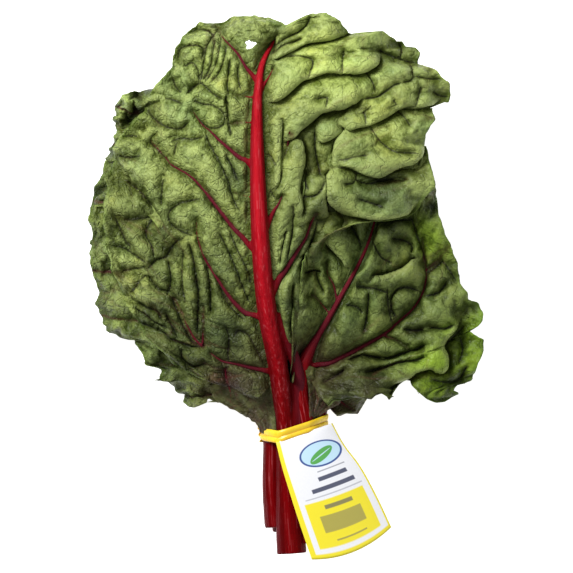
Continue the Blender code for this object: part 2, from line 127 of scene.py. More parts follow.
LEAVES = (
    Leaf(
        name="front_leaf", back=FACE_UP,
        spine=((4, -201, 30.4), (0.5, -150, 30.4), (-1, -106, 30.8), (-6, -62, 43), (-15, -14, 59), (-20, 45, 69),
               (-22, 120, 69), (-19, 162, 64), (-9, 184, 58)),
        blade_y=-74, stalk=(15.0, 9.0),
        left=((0.0, (-22, -84, 36)), (0.04, (-86, -58, 34)), (0.10, (-120, -14, 33)), (0.15, (-136, 36, 33)),
              (0.21, (-134, 84, 36)), (0.41, (-124, 124, 40)), (0.64, (-90, 164, 45)), (0.86, (-76, 192, 48)),
              (0.95, (-34, 205, 49))),
        right=((0.0, (5.5, -66, 45.5)), (0.10, (10, -36, 53)), (0.20, (22, 6, 58)), (0.29, (40, 44, 61)),
               (0.42, (100, 57, 56)), (0.55, (105, 108, 55)), (0.70, (125, 145, 54)), (0.84, (92, 184, 55)),
               (0.95, (40, 205, 54))),
        tip=(-2, 195, 52), puff=(5.0, 6.5), ruffle=5.0, sweep=(0.12, -0.10), vein=(4.2, 2.4), taper=2.6,
        plain_edges=((0, 8), (1, 8)), seed=3,
    ),
    Leaf(
        name="right_leaf", back=FACE_UP,
        spine=((19.5, -193, 30.2), (16.2, -150, 30.2), (14.7, -106, 30.4), (11, -64, 33.4), (36, -16, 43),
               (61, 32, 45), (74, 86, 43)),
        blade_y=-70, stalk=(14.2, 9.0),
        left=((0.0, (4.6, -56, 38)), (0.10, (6, -28, 42)), (0.26, (16, 20, 45)), (0.44, (24, 62, 46)),
              (0.60, (34, 98, 45)), (0.76, (52, 122, 42)), (0.90, (70, 130, 39))),
        right=((0.0, (32, -90, 33)), (0.015, (84, -74, 25)), (0.03, (118, -86, 18)), (0.05, (150, -40, 16)),
               (0.10, (131, 6, 22)), (0.42, (118, 56, 29)), (0.72, (112, 92, 33))),
        tip=(90, 122, 37), puff=(4.0, 5.0), ruffle=4.0, sweep=(0.06, 0.10), vein=(4.6, 2.4), taper=0.6,
        plain_edges=((1, 1), (1, 2)), seed=5,
    ),
    Leaf(
        name="top_leaf", back=FACE_UP,
        spine=((6.8, -194, 20.4), (6, -150, 20.4), (4.8, -106, 20.4), (-4.6, -60, 26.2), (-18, 0, 42), (-44, 70, 47),
               (-70, 124, 42), (-84, 150, 35)),
        blade_y=-50, stalk=(14.0, 8.6),
        left=((0.0, (-14, -50, 31)), (0.12, (-48, -14, 35)), (0.34, (-88, 34, 31)), (0.52, (-120, 76, 26)),
              (0.70, (-133, 108, 24)), (0.86, (-130, 136, 24))),
        right=((0.0, (9, -36, 36)), (0.14, (10, 0, 43)), (0.34, (14, 60, 50)), (0.52, (6, 112, 50)),
               (0.70, (-10, 152, 46)), (0.86, (-44, 176, 40))),
        tip=(-94, 163, 32), seed=8,
    ),
    Leaf(
        name="left_leaf", back=FACE_UP,
        spine=((-8, -182, 20), (-10.5, -150, 20), (-12, -106, 20.2), (-23, -78, 24), (-48, -50, 26),
               (-80, -14, 24.5), (-104, 22, 21), (-120, 52, 18)),
        blade_y=-90, stalk=(13.8, 8.6),
        left=((0.0, (-32, -101, 19)), (0.05, (-56, -94, 15)), (0.14, (-82, -84, 12)), (0.30, (-104, -58, 10)),
              (0.52, (-142, -22, 9)), (0.76, (-149, 12, 11))),
        right=((0.0, (-13, -72, 25.5)), (0.12, (-17, -46, 28)), (0.32, (-30, -8, 28)), (0.52, (-56, 24, 26)),
               (0.72, (-80, 52, 24)), (0.88, (-102, 76, 21))),
        tip=(-144, 60, 13), puff=(3.5, 3.0), ruffle=3.5, seed=11,
    ),
    Leaf(
        name="inner_leaf", back=FACE_UP,
        spine=((-4, -186, 10.3), (-4.5, -150, 10.3), (-5, -106, 10.3), (-20, -50, 15), (-56, 10, 16), (-92, 66, 15),
               (-112, 98, 12)),
        blade_y=-66, stalk=(14.0, 8.4),
        left=((0.0, (-30, -70, 13)), (0.14, (-62, -52, 10)), (0.34, (-104, -20, 6)), (0.54, (-143, 26, 5)),
              (0.74, (-149, 66, 6))),
        right=((0.0, (-7, -46, 17)), (0.18, (-9, 0, 19)), (0.40, (-24, 56, 20)), (0.62, (-54, 104, 19)),
               (0.84, (-88, 132, 15))),
        tip=(-134, 120, 10), puff=(3.0, 3.0), ruffle=2.5, seed=13,
    ),
    Leaf(
        name="low_right_leaf", back=FACE_UP,
        spine=((22, -178, 20), (23, -150, 20), (23.4, -106, 20), (24.2, -93, 20.2), (30, -80, 21.4), (48, -56, 23),
               (80, -24, 23), (104, 6, 20), (116, 26, 17)),
        blade_y=-90, stalk=(14.0, 8.6),
        left=((0.0, (19, -74, 22)), (0.14, (22, -44, 26)), (0.34, (36, -4, 29)), (0.56, (60, 26, 29)),
              (0.80, (90, 48, 25))),
        right=((0.0, (38, -98, 18)), (0.08, (58, -97, 14)), (0.26, (74, -80, 11)), (0.48, (110, -58, 8)),
               (0.76, (136, -14, 9))),
        tip=(124, 46, 14), puff=(3.0, 3.0), ruffle=3.0, seed=17,
    ),
    Leaf(
        name="back_right_leaf", back=FACE_DOWN,
        spine=((13, -190, 19.9), (13.4, -150, 19.9), (13.8, -106, 19.7), (22, -60, 15), (42, 0, 12), (60, 60, 11),
               (66, 116, 10), (66, 142, 8.5)),
        blade_y=-72, stalk=(14.0, 8.4),
        left=((0.0, (10, -62, 16)), (0.18, (14, -14, 13)), (0.40, (18, 44, 10)), (0.62, (24, 98, 7)),
              (0.84, (38, 146, 4))),
        right=((0.0, (36, -72, 13)), (0.16, (76, -56, 4)), (0.38, (112, -20, 1)), (0.60, (116, 44, 1)),
               (0.82, (106, 110, 1))),
        tip=(74, 172, 3), puff=(2.5, 3.0), ruffle=3.0, seed=19,
    ),
    Leaf(
        name="back_left_leaf", back=FACE_DOWN,
        spine=((4, -194, 10.7), (4, -150, 10.7), (4, -106, 10.7), (-8, -60, 10.4), (-28, 0, 9.6), (-42, 70, 9),
               (-48, 132, 8.5), (-50, 156, 8)),
        blade_y=-62, stalk=(14.0, 8.4),
        left=((0.0, (-24, -56, 8)), (0.18, (-64, -30, 2)), (0.40, (-106, 24, 1)), (0.62, (-120, 84, 1)),
              (0.84, (-98, 140, 1))),
        right=((0.0, (5, -48, 10)), (0.18, (6, 6, 8)), (0.40, (8, 66, 6)), (0.62, (2, 122, 4)),
               (0.84, (-18, 168, 3))),
        tip=(-58, 184, 4), puff=(2.5, 2.5), ruffle=2.5, seed=23,
    ),
)


@dataclass
class Skin:
    """How a leaf's surface looks close to: how much it has outgrown its veins, and how light its green is.

    swell    how much more the blade rolls between its side veins than in the plain shape, left and right
    growth   how much longer the blade is than the flat it is held to, left and right
    along    how much of that growth also goes along the side veins, left and right: little makes long rolls
    fine     how firmly the finer veins hold it, left and right: little makes long rolls, much makes small cushions
    lean     how strongly its rolls lean over towards the stalk, left and right
    droop    how far the margin turns down
    light    0 for a dark leaf, 1 for a light one
    tones    lighter and darker spots, painted light and painted shade on crests, rims, hollows and gaps: (x, y, size, how much)
    stains   spots of the purple-brown of the base
    fresh    spots of saturated young green
    sag      spots where the blade lies lower
    wider    how far the margin lies further out, left and right
    slim     the midrib narrows from one share of its length to another, to a factor
    spacing  distance between points of the mesh
    """

    swell: tuple = (1.3, 1.3)
    growth: tuple = (1.26, 1.26)
    along: tuple = (0.9, 0.9)
    fine: tuple = (0.6, 0.6)
    lean: tuple = (0.2, 0.2)
    droop: float = 4.0
    light: float = 0.5
    light_and_shade_spots: tuple = ()
    stains: tuple = ()
    fresh: tuple = ()
    sag: tuple = ()
    wider: tuple = (0.0, 0.0)
    slim: tuple = (0.0, 0.0, 1.0)
    spacing: float = 1.7


# Painted shade in the hollows and painted light on the rims of the lobes behind the front leaf's upper left.
PAINTED_HOLLOWS_AND_RIMS = (
    (-112, 134, 4, -1.2), (-118, 126, 4.5, -1.2), (-104, 146, 4, -1.2), (-113, 144.5, 3.5, -1.0),
    (-132, 101, 4.5, -1.1), (-116, 139.5, 3.5, 0.8), (-127, 132, 4.5, 0.9), (-125, 119, 4, 0.8), (-122, 141, 4, 0.8),
    (-137, 98, 3.5, 0.5),
)

# Each skin's tones are spots of painted light and painted shade.
SKINS = {
    "front_leaf": Skin(
        swell=(1.4, 1.6), growth=(1.06, 1.03), along=(0.9, 0.8), fine=(0.3, 0.0), lean=(0.2, 0.5), droop=5.0,
        light=1.0, spacing=2.0,
        light_and_shade_spots=(
            (-60, 165, 26, 0.4), (20, 165, 30, 0.5), (55, 150, 35, 0.35), (40, 178, 25, 0.2), (75, 110, 25, 0.3),
            (-42, 0, 20, -0.6), (-75, -45, 24, -0.7), (-40, -80, 28, -0.8), (-36, -30, 18, -0.4),
            (75, 76, 16, -0.9), (14, 108, 14, -0.6), (8, 62, 22, -0.45), (20, 90, 14, -0.3), (12, 24, 20, -0.6),
            (12, -16, 16, -0.6), (36, 50, 12, -0.7), (28, 28, 12, -0.5), (-105, -25, 22, -0.3),
            (-45, -40, 14, -0.3), (-38, 82, 13, -0.7), (-38, 130, 9, -0.6), (-57, 64, 8, -0.5), (-36, 112, 8, -0.4),
            (-30, 58, 8, -0.5), (-58, 178, 5, -0.4), (-8, 178, 9, -0.6), (25, 55, 6, -1.0), (31, 63, 6, -1.0),
            (6, -58, 8, -1.0), (72, 62, 13, -0.35), (52, 70, 8, -0.5), (-55, -35, 22, -0.3), (-100, -50, 20, -0.3),
            (3, -12, 8, -0.5), (5, -32, 8, -0.6), (-6, 193, 6, -0.8), (68, 175, 5, -0.7), (78, 173, 5, -0.7),
            (45, 105, 9, -0.4), (42, 128, 8, -0.5), (-60, 120, 20, 0.3), (-95, 90, 28, 0.2), (-105, 25, 32, -0.25),
            (-92, -14, 6, -0.9), (-91, -27, 6, -0.8), (-66, 1, 5, -0.6), (-66, -12, 5, -0.6), (-83, -6, 5, -0.5),
            (-106, -24, 6, -0.5), (-68, -32, 5, -0.9), (-79, 14, 8, 0.4), (-118, 20, 9, 0.4), (-111, 0, 9, 0.35),
            (-107, 33, 7, 0.3), (-118, 70, 34, -0.35), (-85, 10, 34, -0.32), (-100, 45, 30, -0.2),
            (-91, 42, 6, -0.4), (-84, 27, 5, -0.5), (-60, -60, 26, -0.3), (-50, 30, 14, -0.3),
        ),
        stains=(
            (4, -62, 12, 1.0), (6, -46, 9, 0.9), (9, -32, 7, 0.6), (-30, -82, 24, 0.9), (-50, -70, 16, 0.5),
            (-18, -60, 8, 0.5),
        ),
        sag=(
            (6, -62, 7, 14), (5, -48, 7, 6), (8, -50, 10, 8), (13, -30, 11, 14), (19, -8, 11, 14), (25, 12, 11, 14),
            (33, 30, 11, 14), (40, 46, 11, 12), (12, 6, 8, 8), (17, 20, 8, 10), (24, 35, 8, 10), (30, 48, 7, 9),
            (22, 80, 34, 3.4), (24, 132, 34, 3.4), (60, 75, 26, 1.6),
        ),
    ),
    "right_leaf": Skin(
        growth=(1.06, 1.06), fine=(0.2, 0.2), lean=(0.2, 0.2), light=0.42, spacing=1.8, wider=(11.0, 0.0),
        slim=(0.06, 0.24, 0.55),
        light_and_shade_spots=(
            (45, 44, 14, -0.7), (76, 50, 11, -1.0), (95, 21, 5, -0.9), (84, -16, 9, -0.6), (110, 60, 5, -0.9),
            (104, 42, 12, 0.5), (116, 29, 11, 0.4), (85, 0, 35, -0.35), (30, -20, 25, -0.3), (60, -62, 26, -0.6),
            (21, 29, 6, -0.8), (110, 30, 16, 0.3), (100, -56, 10, 0.6), (112, -52, 9, 0.6), (122, -32, 7, 0.6),
            (90, -62, 8, 0.4), (97, -34, 9, -0.9), (100, 10, 25, 0.3), (60, -5, 22, 0.3), (80, -20, 20, 0.2),
            (70, -75, 10, -0.5), (126, -70, 12, -0.6), (40, -78, 14, -0.5),
        ),
        stains=((30, -74, 14, 0.8), (11, -46, 9, 1.0), (8, -20, 7, 0.4), (60, -80, 13, 0.6)),
        fresh=(
            (100, 48, 10, 0.7), (108, 38, 11, 0.7), (118, 27, 10, 0.7), (104, 28, 8, 0.5), (106, -55, 14, 0.5),
            (124, -31, 8, 0.5), (130, -65, 24, 0.9), (145, -25, 16, 0.9), (108, -74, 16, 0.9), (140, -45, 16, 0.9),
        ),
        sag=((8, -30, 11, -4), (13, -6, 11, -4), (18, 18, 11, -4), (24, 42, 11, -3)),
    ),
    "top_leaf": Skin(
        light=0.8, spacing=1.9, light_and_shade_spots=PAINTED_HOLLOWS_AND_RIMS,
        sag=((-113, 133, 5, 7), (-118, 125, 5, 7), (-104, 146, 4, 5), (-113, 144, 4, 5)),
        stains=((5, -60, 14, 1.0), (8, -44, 10, 0.8)),
    ),
    "left_leaf": Skin(
        growth=(1.1, 1.1), light=0.55, spacing=1.9,
        stains=((-38, -86, 22, 0.9), (-58, -80, 14, 0.5)),
        light_and_shade_spots=(
            (-128, -30, 10, 0.4), (-112, -55, 8, -0.5), (-104, -64, 6, 0.4), (-92, -60, 9, -0.6),
            (-136, -8, 6, 0.4),
        ),
    ),
    "inner_leaf": Skin(
        light=0.4, spacing=2.3, light_and_shade_spots=PAINTED_HOLLOWS_AND_RIMS,
        stains=((5, -60, 14, 1.0), (8, -44, 10, 0.8), (-30, -80, 24, 0.8)),
    ),
    "low_right_leaf": Skin(growth=(1.2, 1.2), light=0.2),
    "back_right_leaf": Skin(light=0.35, spacing=2.6),
    "back_left_leaf": Skin(light=0.4, spacing=2.6),
}


@dataclass
class Folds:
    """Lines in plan, in millimetres, that hold a blade down while it grows.

    veins    raised veins: (width at the root, width at the end, points)
    creases  creases and hollows without one: (how deep, how wide, points)
    rolls    feet of rolls that hang over: (how high, points), with the roll at the left of the way along the points
    puff     height of the blade between such lines, left and right of the midrib
    """

    veins: tuple
    creases: tuple
    rolls: tuple
    puff: tuple


FRONT_VEINS = (
    # left, from the tip down
    (6.0, 1.2, ((-19, 148), (-25, 157), (-30, 163), (-36, 173), (-43, 181), (-49, 188), (-51, 195))),
    (3.0, 1.0, ((-21, 141), (-28, 141), (-33, 142), (-39, 143))),
    (2.2, 0.8, ((-22, 122), (-30, 122), (-36, 122), (-42, 121))),
    (7.0, 1.4, ((-21, 84), (-29, 93), (-35, 96), (-42, 102), (-50, 109), (-57, 116), (-63, 121), (-70, 131))),
    (2.2, 0.8, ((-21, 66), (-29, 67), (-35, 69), (-40, 70))),
    (6.5, 1.2, ((-19, 22), (-27, 30), (-33, 37), (-40, 44), (-46, 52), (-53, 61), (-60, 70), (-67, 78), (-74, 84),
        (-81, 88), (-87, 92), (-92, 99), (-99, 106), (-104, 113))),
    (7.0, 1.4, ((-13, -27), (-22, -22), (-30, -20), (-37, -14), (-43, -7), (-49, 2), (-55, 11), (-61, 21),
        (-65, 32), (-67, 41), (-67, 49))),
    (3.0, 1.4, ((-63, -45), (-69, -39), (-75, -28), (-79, -18), (-84, -9))),
    (2.4, 1.2, ((-63, -43), (-62.5, -30), (-62.5, -15))),
    (7.0, 1.6, ((-5, -66), (-16, -63), (-26, -61), (-38, -58), (-48, -56), (-57, -50))),
    (2.6, 1.2, ((-46, -62), (-45, -70), (-42, -80), (-42, -88))),
    # right
    (5.5, 1.6, ((-20, 143), (-17, 150), (-13, 156), (-10, 162))),
    (3.4, 1.4, ((2, 115), (1, 106), (-1, 98))),
    (6.0, 2.0, ((-15, 44), (-10, 55), (-6, 61), (-3, 68))),
    (7.5, 2.6, ((-11, -6), (-6, 5), (-1, 12), (4, 20), (9, 28), (14, 36), (17, 44), (21, 54))),
)

FRONT_CREASES = (
    # right: the foot of each roll, from the top down
    (3, 2, ((-13, 172), (-8, 177), (-2, 181), (6, 184), (12, 187))),
    (3, 2, ((-11, 178), (-4, 183), (3, 187), (9, 190), (15, 195), (18, 201))),
    (3, 2, ((0, 171), (8, 171.5), (18, 169.5), (19, 165), (15, 158))),
    (3, 2, ((43, 177), (42, 171), (41.5, 166), (42, 162))),
    (6, 3, ((69, 177), (74, 174), (82, 171), (92, 168), (102, 167))), (3, 2, ((84, 183), (86, 176), (84, 170))),
    (4, 2, ((23, 140), (30, 141), (29, 136))), (4, 2, ((59, 160), (64, 152), (66, 145))),
    (3, 2, ((92, 166), (94, 160), (93, 154), (86, 152))), (3, 2, ((95, 157), (105, 155), (115, 155))),
    (3, 1.6, ((56, 133), (58, 128), (58, 124))), (3, 1.6, ((79, 140), (81, 136), (81, 132))),
    (3, 1.6, ((100, 149), (98, 142), (96, 137))), (4, 2, ((109, 146), (114, 143), (121, 142))),
    (1.5, 1.5, ((62, 120), (66, 113), (72, 106), (80, 101), (90, 100), (98, 101))),
    (1.5, 1.5, ((80, 133), (88, 126), (92, 120))), (1.2, 1.5, ((40, 95), (50, 97), (60, 98))),
    (14, 5, ((52, 79), (60, 77), (70, 79), (80, 80), (90, 80))), (3, 1.5, ((72, 60), (62, 63), (53, 66))),
    # right: rolls that run down beside the midrib
    (5, 2.5, ((-17, 74), (-12, 72), (-8, 66))), (2, 1.5, ((-18, 102), (-12, 97), (-9, 90))),
    (5, 2, ((21, 118), (21, 108), (22, 98), (24, 88), (25, 78), (22, 69), (15, 67), (11, 70))),
    (4, 2, ((15, 86), (14, 78), (16, 72))), (5, 2, ((0, 44), (-2, 34), (-4, 24), (-5, 16))),
    (5, 2, ((4, 62), (5, 50), (4, 38), (2, 28), (0, 18))), (3, 2, ((10, 10), (18, 12), (26, 10))),
    (3, 2, ((5, 4), (4, -10), (6, -24), (8, -38))), (4, 2, ((23, 50), (20, 38), (15, 26), (10, 14))),
    (4, 2, ((14, 0), (13, -12), (11, -24), (9, -34))),
    # left: pleats that gather near the upper margin
    (4, 2, ((-85, 156), (-83, 150), (-79, 145))),
    (3, 1.5, ((-64, 152), (-62, 165), (-60, 178), (-55, 187), (-51, 193))),
    (3, 1.5, ((-63, 153), (-57, 163), (-55, 175), (-53, 186))),
    (3, 1.5, ((-60, 153), (-53, 165), (-50, 178), (-49, 186))),
    (3, 1.5, ((-57, 152), (-50, 160), (-46, 172), (-45, 180))),
    (3, 1.5, ((-65, 153), (-66, 161), (-70, 167), (-76, 165))),
    (4, 2, ((-64, 168), (-62, 176), (-66, 180), (-75, 180), (-80, 177), (-81, 170))),
    (3, 2, ((-74, 190), (-66, 193), (-58, 191), (-55, 187))),
    (5, 2.5, ((-75, 144), (-69, 149), (-64, 152), (-58, 147), (-52, 142), (-46, 139))),
    (4, 1.5, ((-42, 170), (-43, 160), (-44, 150), (-43, 142))), (3, 1.5, ((-36, 165), (-36, 155), (-34, 146))),
    (9, 3.5, ((-45, 142), (-44, 132), (-43, 122), (-41, 112))),
    (4, 2, ((-70, 139), (-62, 136), (-54, 135), (-47, 129), (-46, 122), (-52, 118), (-60, 120), (-68, 128))),
    (4, 2, ((-106, 139), (-103, 131), (-97, 124), (-88, 119), (-79, 118), (-73, 123))),
    (3, 2, ((-104, 140), (-95, 141), (-86, 140), (-78, 137))),
    (6, 2.5, ((-106, 122), (-105, 113), (-100, 106), (-93, 99), (-88, 94))), (3, 2, ((-82, 108), (-84, 98))),
    (3, 2, ((-86, 109), (-78, 111), (-70, 110), (-62, 112))),
    (6, 3.5, ((-61, 115), (-57, 106), (-52, 97), (-47, 87), (-43, 77), (-40, 66), (-35, 56))),
    (7, 5, ((-45, 98), (-40, 88), (-36, 78))), (8, 3, ((-68, 77), (-60, 69), (-53, 59), (-46, 50), (-39, 42))),
    (6, 3, ((-120, 80), (-112, 73), (-106, 67), (-100, 59), (-97, 49))),
    (2, 1.5, ((-122, 50), (-110, 51), (-97, 54))), (4, 2, ((-124, 113), (-112, 113), (-104, 111))),
    (4, 2, ((-126, 98), (-118, 97), (-110, 98))), (3, 2, ((-92, 84), (-93, 72), (-94, 62))),
    (3, 2, ((-64, 66), (-72, 64), (-80, 62), (-88, 55), (-86, 47), (-78, 41), (-70, 38))),
    # left: a second gather half way down, and upright folds beside it
    (4, 2, ((-106, 18), (-114, 24), (-122, 29), (-131, 31))),
    (4, 2, ((-99, 20), (-101, 30), (-105, 38), (-104, 46), (-99, 51))),
    (4, 2, ((-116, 28), (-121, 35), (-125, 44), (-129, 52))), (4, 2, ((-107, 15), (-115, 13), (-124, 12))),
    (4, 2, ((-104, 9), (-100, 3), (-95, -2), (-88, -3))), (3, 2, ((-104, 9), (-110, 5), (-114, -1), (-118, -5))),
    (4, 2, ((-134, 20), (-137, 10), (-134, 0), (-128, -7))),
    (6, 2.5, ((-104, 14), (-98, 20), (-91, 22), (-87, 28), (-82, 34), (-76, 37))),
    (6, 2.5, ((-89, 20), (-87, 10), (-87, 1), (-90, -6))),
    (9, 3.5, ((-73, 33), (-70, 22), (-68, 10), (-66, -4), (-66, -18), (-67, -38))),
    (2, 1.5, ((-77, 28), (-78, 16), (-78, 2), (-76, -12))), (10, 4, ((-60, 22), (-58, 8), (-57, -6), (-57, -20))),
    (4, 3, ((-52, 8), (-47, -6), (-40, -17), (-32, -25))),
    (4, 2, ((-50, 40), (-44, 28), (-38, 14), (-33, 0), (-28, -14))),
    (4, 2, ((-42, 40), (-36, 26), (-30, 12), (-26, 0))),
    (9, 3.5, ((-130, -7), (-121, -9), (-112, -12), (-104, -16), (-97, -19), (-94, -25))),
    (4, 2, ((-114, -16), (-106, -21), (-99, -27), (-90, -31))),
    (6, 3, ((-118, -26), (-108, -28), (-100, -31), (-93, -34), (-86, -40))),
    (5, 3, ((-114, -33), (-108, -44), (-101, -54), (-96, -62))),
    (7, 3, ((-86, -8), (-82, -18), (-77, -30), (-71, -41), (-64, -45))),
    (5, 2, ((-91, -20), (-87, -28), (-82, -38))), (6, 3, ((-90, -38), (-80, -42), (-70, -45), (-60, -44))),
    (4, 2, ((-79, -46), (-78, -54), (-70, -60), (-60, -57))),
    (3, 2, ((-45, -30), (-43, -40), (-44, -50), (-43, -56))),
    (2, 2, ((-40, -38), (-36, -33), (-29, -36), (-24, -45), (-18, -57))),
    (2, 2, ((58, 140), (66, 141), (73, 145), (80, 150), (86, 152))),
    (4, 2, ((51, 88), (52, 82), (49, 77), (42, 77))),
)

FRONT_ROLLS = (
    (6, ((-14, 168), (-5, 172), (5, 177), (12, 181), (20, 183), (30, 184), (40, 187), (50, 190))),
    (8, ((-17, 135), (-10, 138), (-2, 142), (5, 148), (12, 154), (20, 157), (30, 160), (42, 160), (54, 160),
        (62, 163), (68, 168), (71, 175))),
    (9, ((-3, 107), (4, 111), (10, 117), (18, 123), (26, 130), (33, 132), (42, 133), (50, 137), (58, 140))),
    (6, ((38, 121), (46, 118), (55, 120), (63, 122), (72, 126), (80, 131), (88, 136), (97, 136), (106, 136),
        (116, 140))),
    (4, ((24, 108), (31, 110), (38, 114), (42, 118))),
    (5, ((48, 118), (42, 114), (37, 107), (35, 97), (35, 88))),
    (9, ((38, 89), (46, 90), (54, 86), (62, 83), (70, 82), (78, 86), (86, 90), (94, 92), (101, 100), (105, 110))),
    (8, ((33, 90), (31, 82), (31, 73), (32, 64), (40, 56), (54, 53), (66, 51), (78, 52), (90, 55), (98, 61))),
    (6, ((-9, 70), (-6, 78), (-5, 88), (-5, 98), (-5, 108), (-4, 118), (-4, 128))),
    (7, ((12, 50), (11, 62), (9, 74), (11, 84), (13, 94), (12, 104), (9, 112))),
    (6, ((31, 50), (29, 60), (28, 72), (28, 84))),
)

RIGHT_VEINS = (
    (6.5, 1.4, ((14, -61), (22, -59), (31, -58), (42, -53), (54, -47), (65, -41), (75, -35), (85, -26), (95, -17),
        (102, -6), (105, 5), (105, 14), (104, 20))),
    (2.4, 1.0, ((73, -37), (84, -41), (92, -47))), (3.2, 1.2, ((38, -13), (37, -6), (35, 2), (31, 9), (30, 18))),
    (2.2, 0.8, ((32, -20), (27, -14), (22, -8), (18, -6))), (1.6, 0.8, ((104, 20), (103, 28), (102, 36))),
    (1.6, 0.8, ((105, 12), (110, 16), (116, 20))),
)

RIGHT_CREASES = (
    (4, 2, ((44, 52), (50, 43), (55, 33), (56, 22), (53, 10))), (4, 2, ((14, 10), (20, 12), (26, 11))),
    (3, 2, ((22, 12), (24, 4), (28, -4))), (3, 1.8, ((64, 36), (67, 28), (72, 21), (79, 18))),
    (5, 3, ((78, 36), (87, 35), (94, 31), (94, 25))), (6, 3, ((66, 50), (76, 51), (86, 50), (95, 50))),
    (5, 2.5, ((101, -4), (92, -1), (84, -2), (79, -8), (79, -17), (83, -24))),
    (3, 1.5, ((76, -2), (76, -12), (78, -22), (80, -28))), (3, 2, ((52, 0), (60, -1), (70, -3), (76, -5))),
    (3, 2, ((62, -4), (61, -14), (60, -24), (58, -33))), (3, 2, ((44, -14), (52, -15), (58, -20))),
    (5, 2.5, ((88, -32), (98, -33), (108, -31), (118, -31), (125, -27))),
    (4, 1.5, ((104, -7), (113, -5), (118, -1), (121, 4))), (4, 1.5, ((106, 10), (112, 14), (118, 19))),
    (3, 1.5, ((93, 54), (97, 42), (100, 33), (105, 18))), (3, 2, ((117, 20), (123, 12), (128, 4))),
    (9, 4, ((44, -56), (56, -52), (66, -53), (76, -54), (88, -50), (98, -47), (104, -44))),
    (5, 3, ((60, -64), (72, -61), (84, -57), (96, -55), (104, -52))), (3, 2, ((131, -38), (133, -48), (130, -58))),
    (3, 2, ((110, -70), (120, -72), (130, -70), (136, -60))), (3, 2, ((122, -42), (128, -36), (134, -30))),
    (3, 2, ((28, -72), (36, -68), (44, -62))),
)

RIGHT_ROLLS = (
    (8, ((78, -82), (82, -73), (92, -68), (99, -63), (108, -61), (115, -64), (120, -61), (121, -53), (118, -45),
        (122, -37), (128, -30), (134, -22))),
    (6, ((32, 62), (28, 50), (26, 41), (31, 32), (38, 25), (44, 19), (48, 11), (49, 1))),
    (5, ((98, 22), (92, 17), (85, 12), (77, 9), (70, 7), (62, 8))),
)

FOLDS = {
    "front_leaf": Folds(FRONT_VEINS, FRONT_CREASES, FRONT_ROLLS, puff=(3.0, 6.0)),
    "right_leaf": Folds(RIGHT_VEINS, RIGHT_CREASES, RIGHT_ROLLS, puff=(5.0, 7.0)),
}


# The bunch's outline in plan, in millimetres, from the top round the left side.
OUTLINE = (
    (-2, 197), (-12, 201), (-25, 203), (-40, 203), (-48, 199), (-60, 198), (-66, 199), (-72, 195), (-78, 188),
    (-84, 180), (-86, 172), (-86, 165), (-92, 158), (-100, 150), (-114, 147), (-124, 144.5), (-130.5, 136),
    (-131, 126), (-129, 119), (-131, 110), (-138, 95), (-140, 86), (-146, 76), (-149, 62), (-150, 52), (-147, 40),
    (-149, 33), (-150, 22), (-147, 8), (-143, -5), (-146, -13), (-143, -18), (-140, -28), (-137, -33), (-128, -38),
    (-118, -40), (-112, -47), (-108, -54), (-107, -65), (-103, -71), (-97, -72), (-92, -71), (-87, -76), (-83, -81),
    (-78, -82), (-79, -88), (-76, -91), (-70, -91), (-61, -87), (-60, -83), (-50, -88), (-43, -92), (-35, -95),
    (-28, -99), (-22, -104), (0, -112), (25, -97), (55, -97), (58, -92), (62, -85), (68, -79), (75, -80), (77, -84),
    (80, -78), (86, -71), (93, -69), (95, -74), (100, -79), (106, -84), (113, -87), (120, -87), (130, -82),
    (139, -79), (142, -70), (146, -58), (150, -48), (149, -40), (141, -34), (138, -32), (145, -31), (149, -26),
    (149, -20), (145, -12), (138, -10), (136, -4), (133, -1), (131, 10), (129, 22), (124, 32), (119, 42), (115, 55),
    (114, 66), (112, 78), (109, 88), (107, 97), (105, 105), (101, 103), (106, 117), (112, 125), (110, 133),
    (113, 137), (121, 137), (124, 143), (122, 153), (118, 155), (113, 162), (108, 164), (99, 167), (101, 175),
    (98, 179), (91, 180), (88, 184), (84, 183), (80, 187), (72, 191), (60, 190), (49, 189), (40, 199), (30, 204),
    (18, 204), (8, 199), (0, 195), (-2, 197),
)


# The part of the outline, from one number up to another, that a lower leaf makes, and the front leaf's own line there.
INNER = (11, 21, ((-86, 165), (-92, 158), (-100, 150), (-106, 141), (-107, 133), (-113, 127), (-120, 120), (-127, 112),
                  (-131, 104), (-130, 97), (-134, 88)))


def outline_of(name):
    """The line that a leaf's margin keeps to, in plan."""
    begin, end, inner = INNER
    return OUTLINE[:begin] + inner + OUTLINE[end + 1:] if name == "front_leaf" else OUTLINE


def beyond_outline(x, y, outline):
    """How far places in plan lie beyond the outline, 0 within it, and the nearest places on it."""
    inside = np.zeros(x.shape, bool)
    nearest, foot_x, foot_y = np.full(x.shape, 1e9), x.copy(), y.copy()
    for (x0, y0), (x1, y1) in zip(outline[:-1], outline[1:]):
        if y0 != y1:
            inside ^= ((y0 > y) != (y1 > y)) & (x < x0 + (y - y0) / (y1 - y0) * (x1 - x0))
        share = np.clip(((x - x0) * (x1 - x0) + (y - y0) * (y1 - y0)) / ((x1 - x0) ** 2 + (y1 - y0) ** 2), 0, 1)
        at_x, at_y = x0 + share * (x1 - x0), y0 + share * (y1 - y0)
        gap = np.hypot(x - at_x, y - at_y)
        closer = gap < nearest
        nearest[closer], foot_x[closer], foot_y[closer] = gap[closer], at_x[closer], at_y[closer]
    return np.where(inside, 0.0, nearest), foot_x, foot_y


STRAY = 0.7  # how far beyond the outline points of a blade may stay
FAR_OUT = 16.0  # points this far beyond it aren't moved back


def kept_inside(points, outline):
    """Points of a blade with those beyond the outline moved back to it."""
    x, y = points[..., 0], points[..., 1]
    gap, foot_x, foot_y = beyond_outline(x, y, outline)
    back = np.clip(1 - STRAY / np.maximum(gap, 1e-6), 0, 1) * ease((FAR_OUT - gap) / 4)
    points[..., :2] += np.stack([foot_x - x, foot_y - y], axis=-1) * back[..., None]
    return points


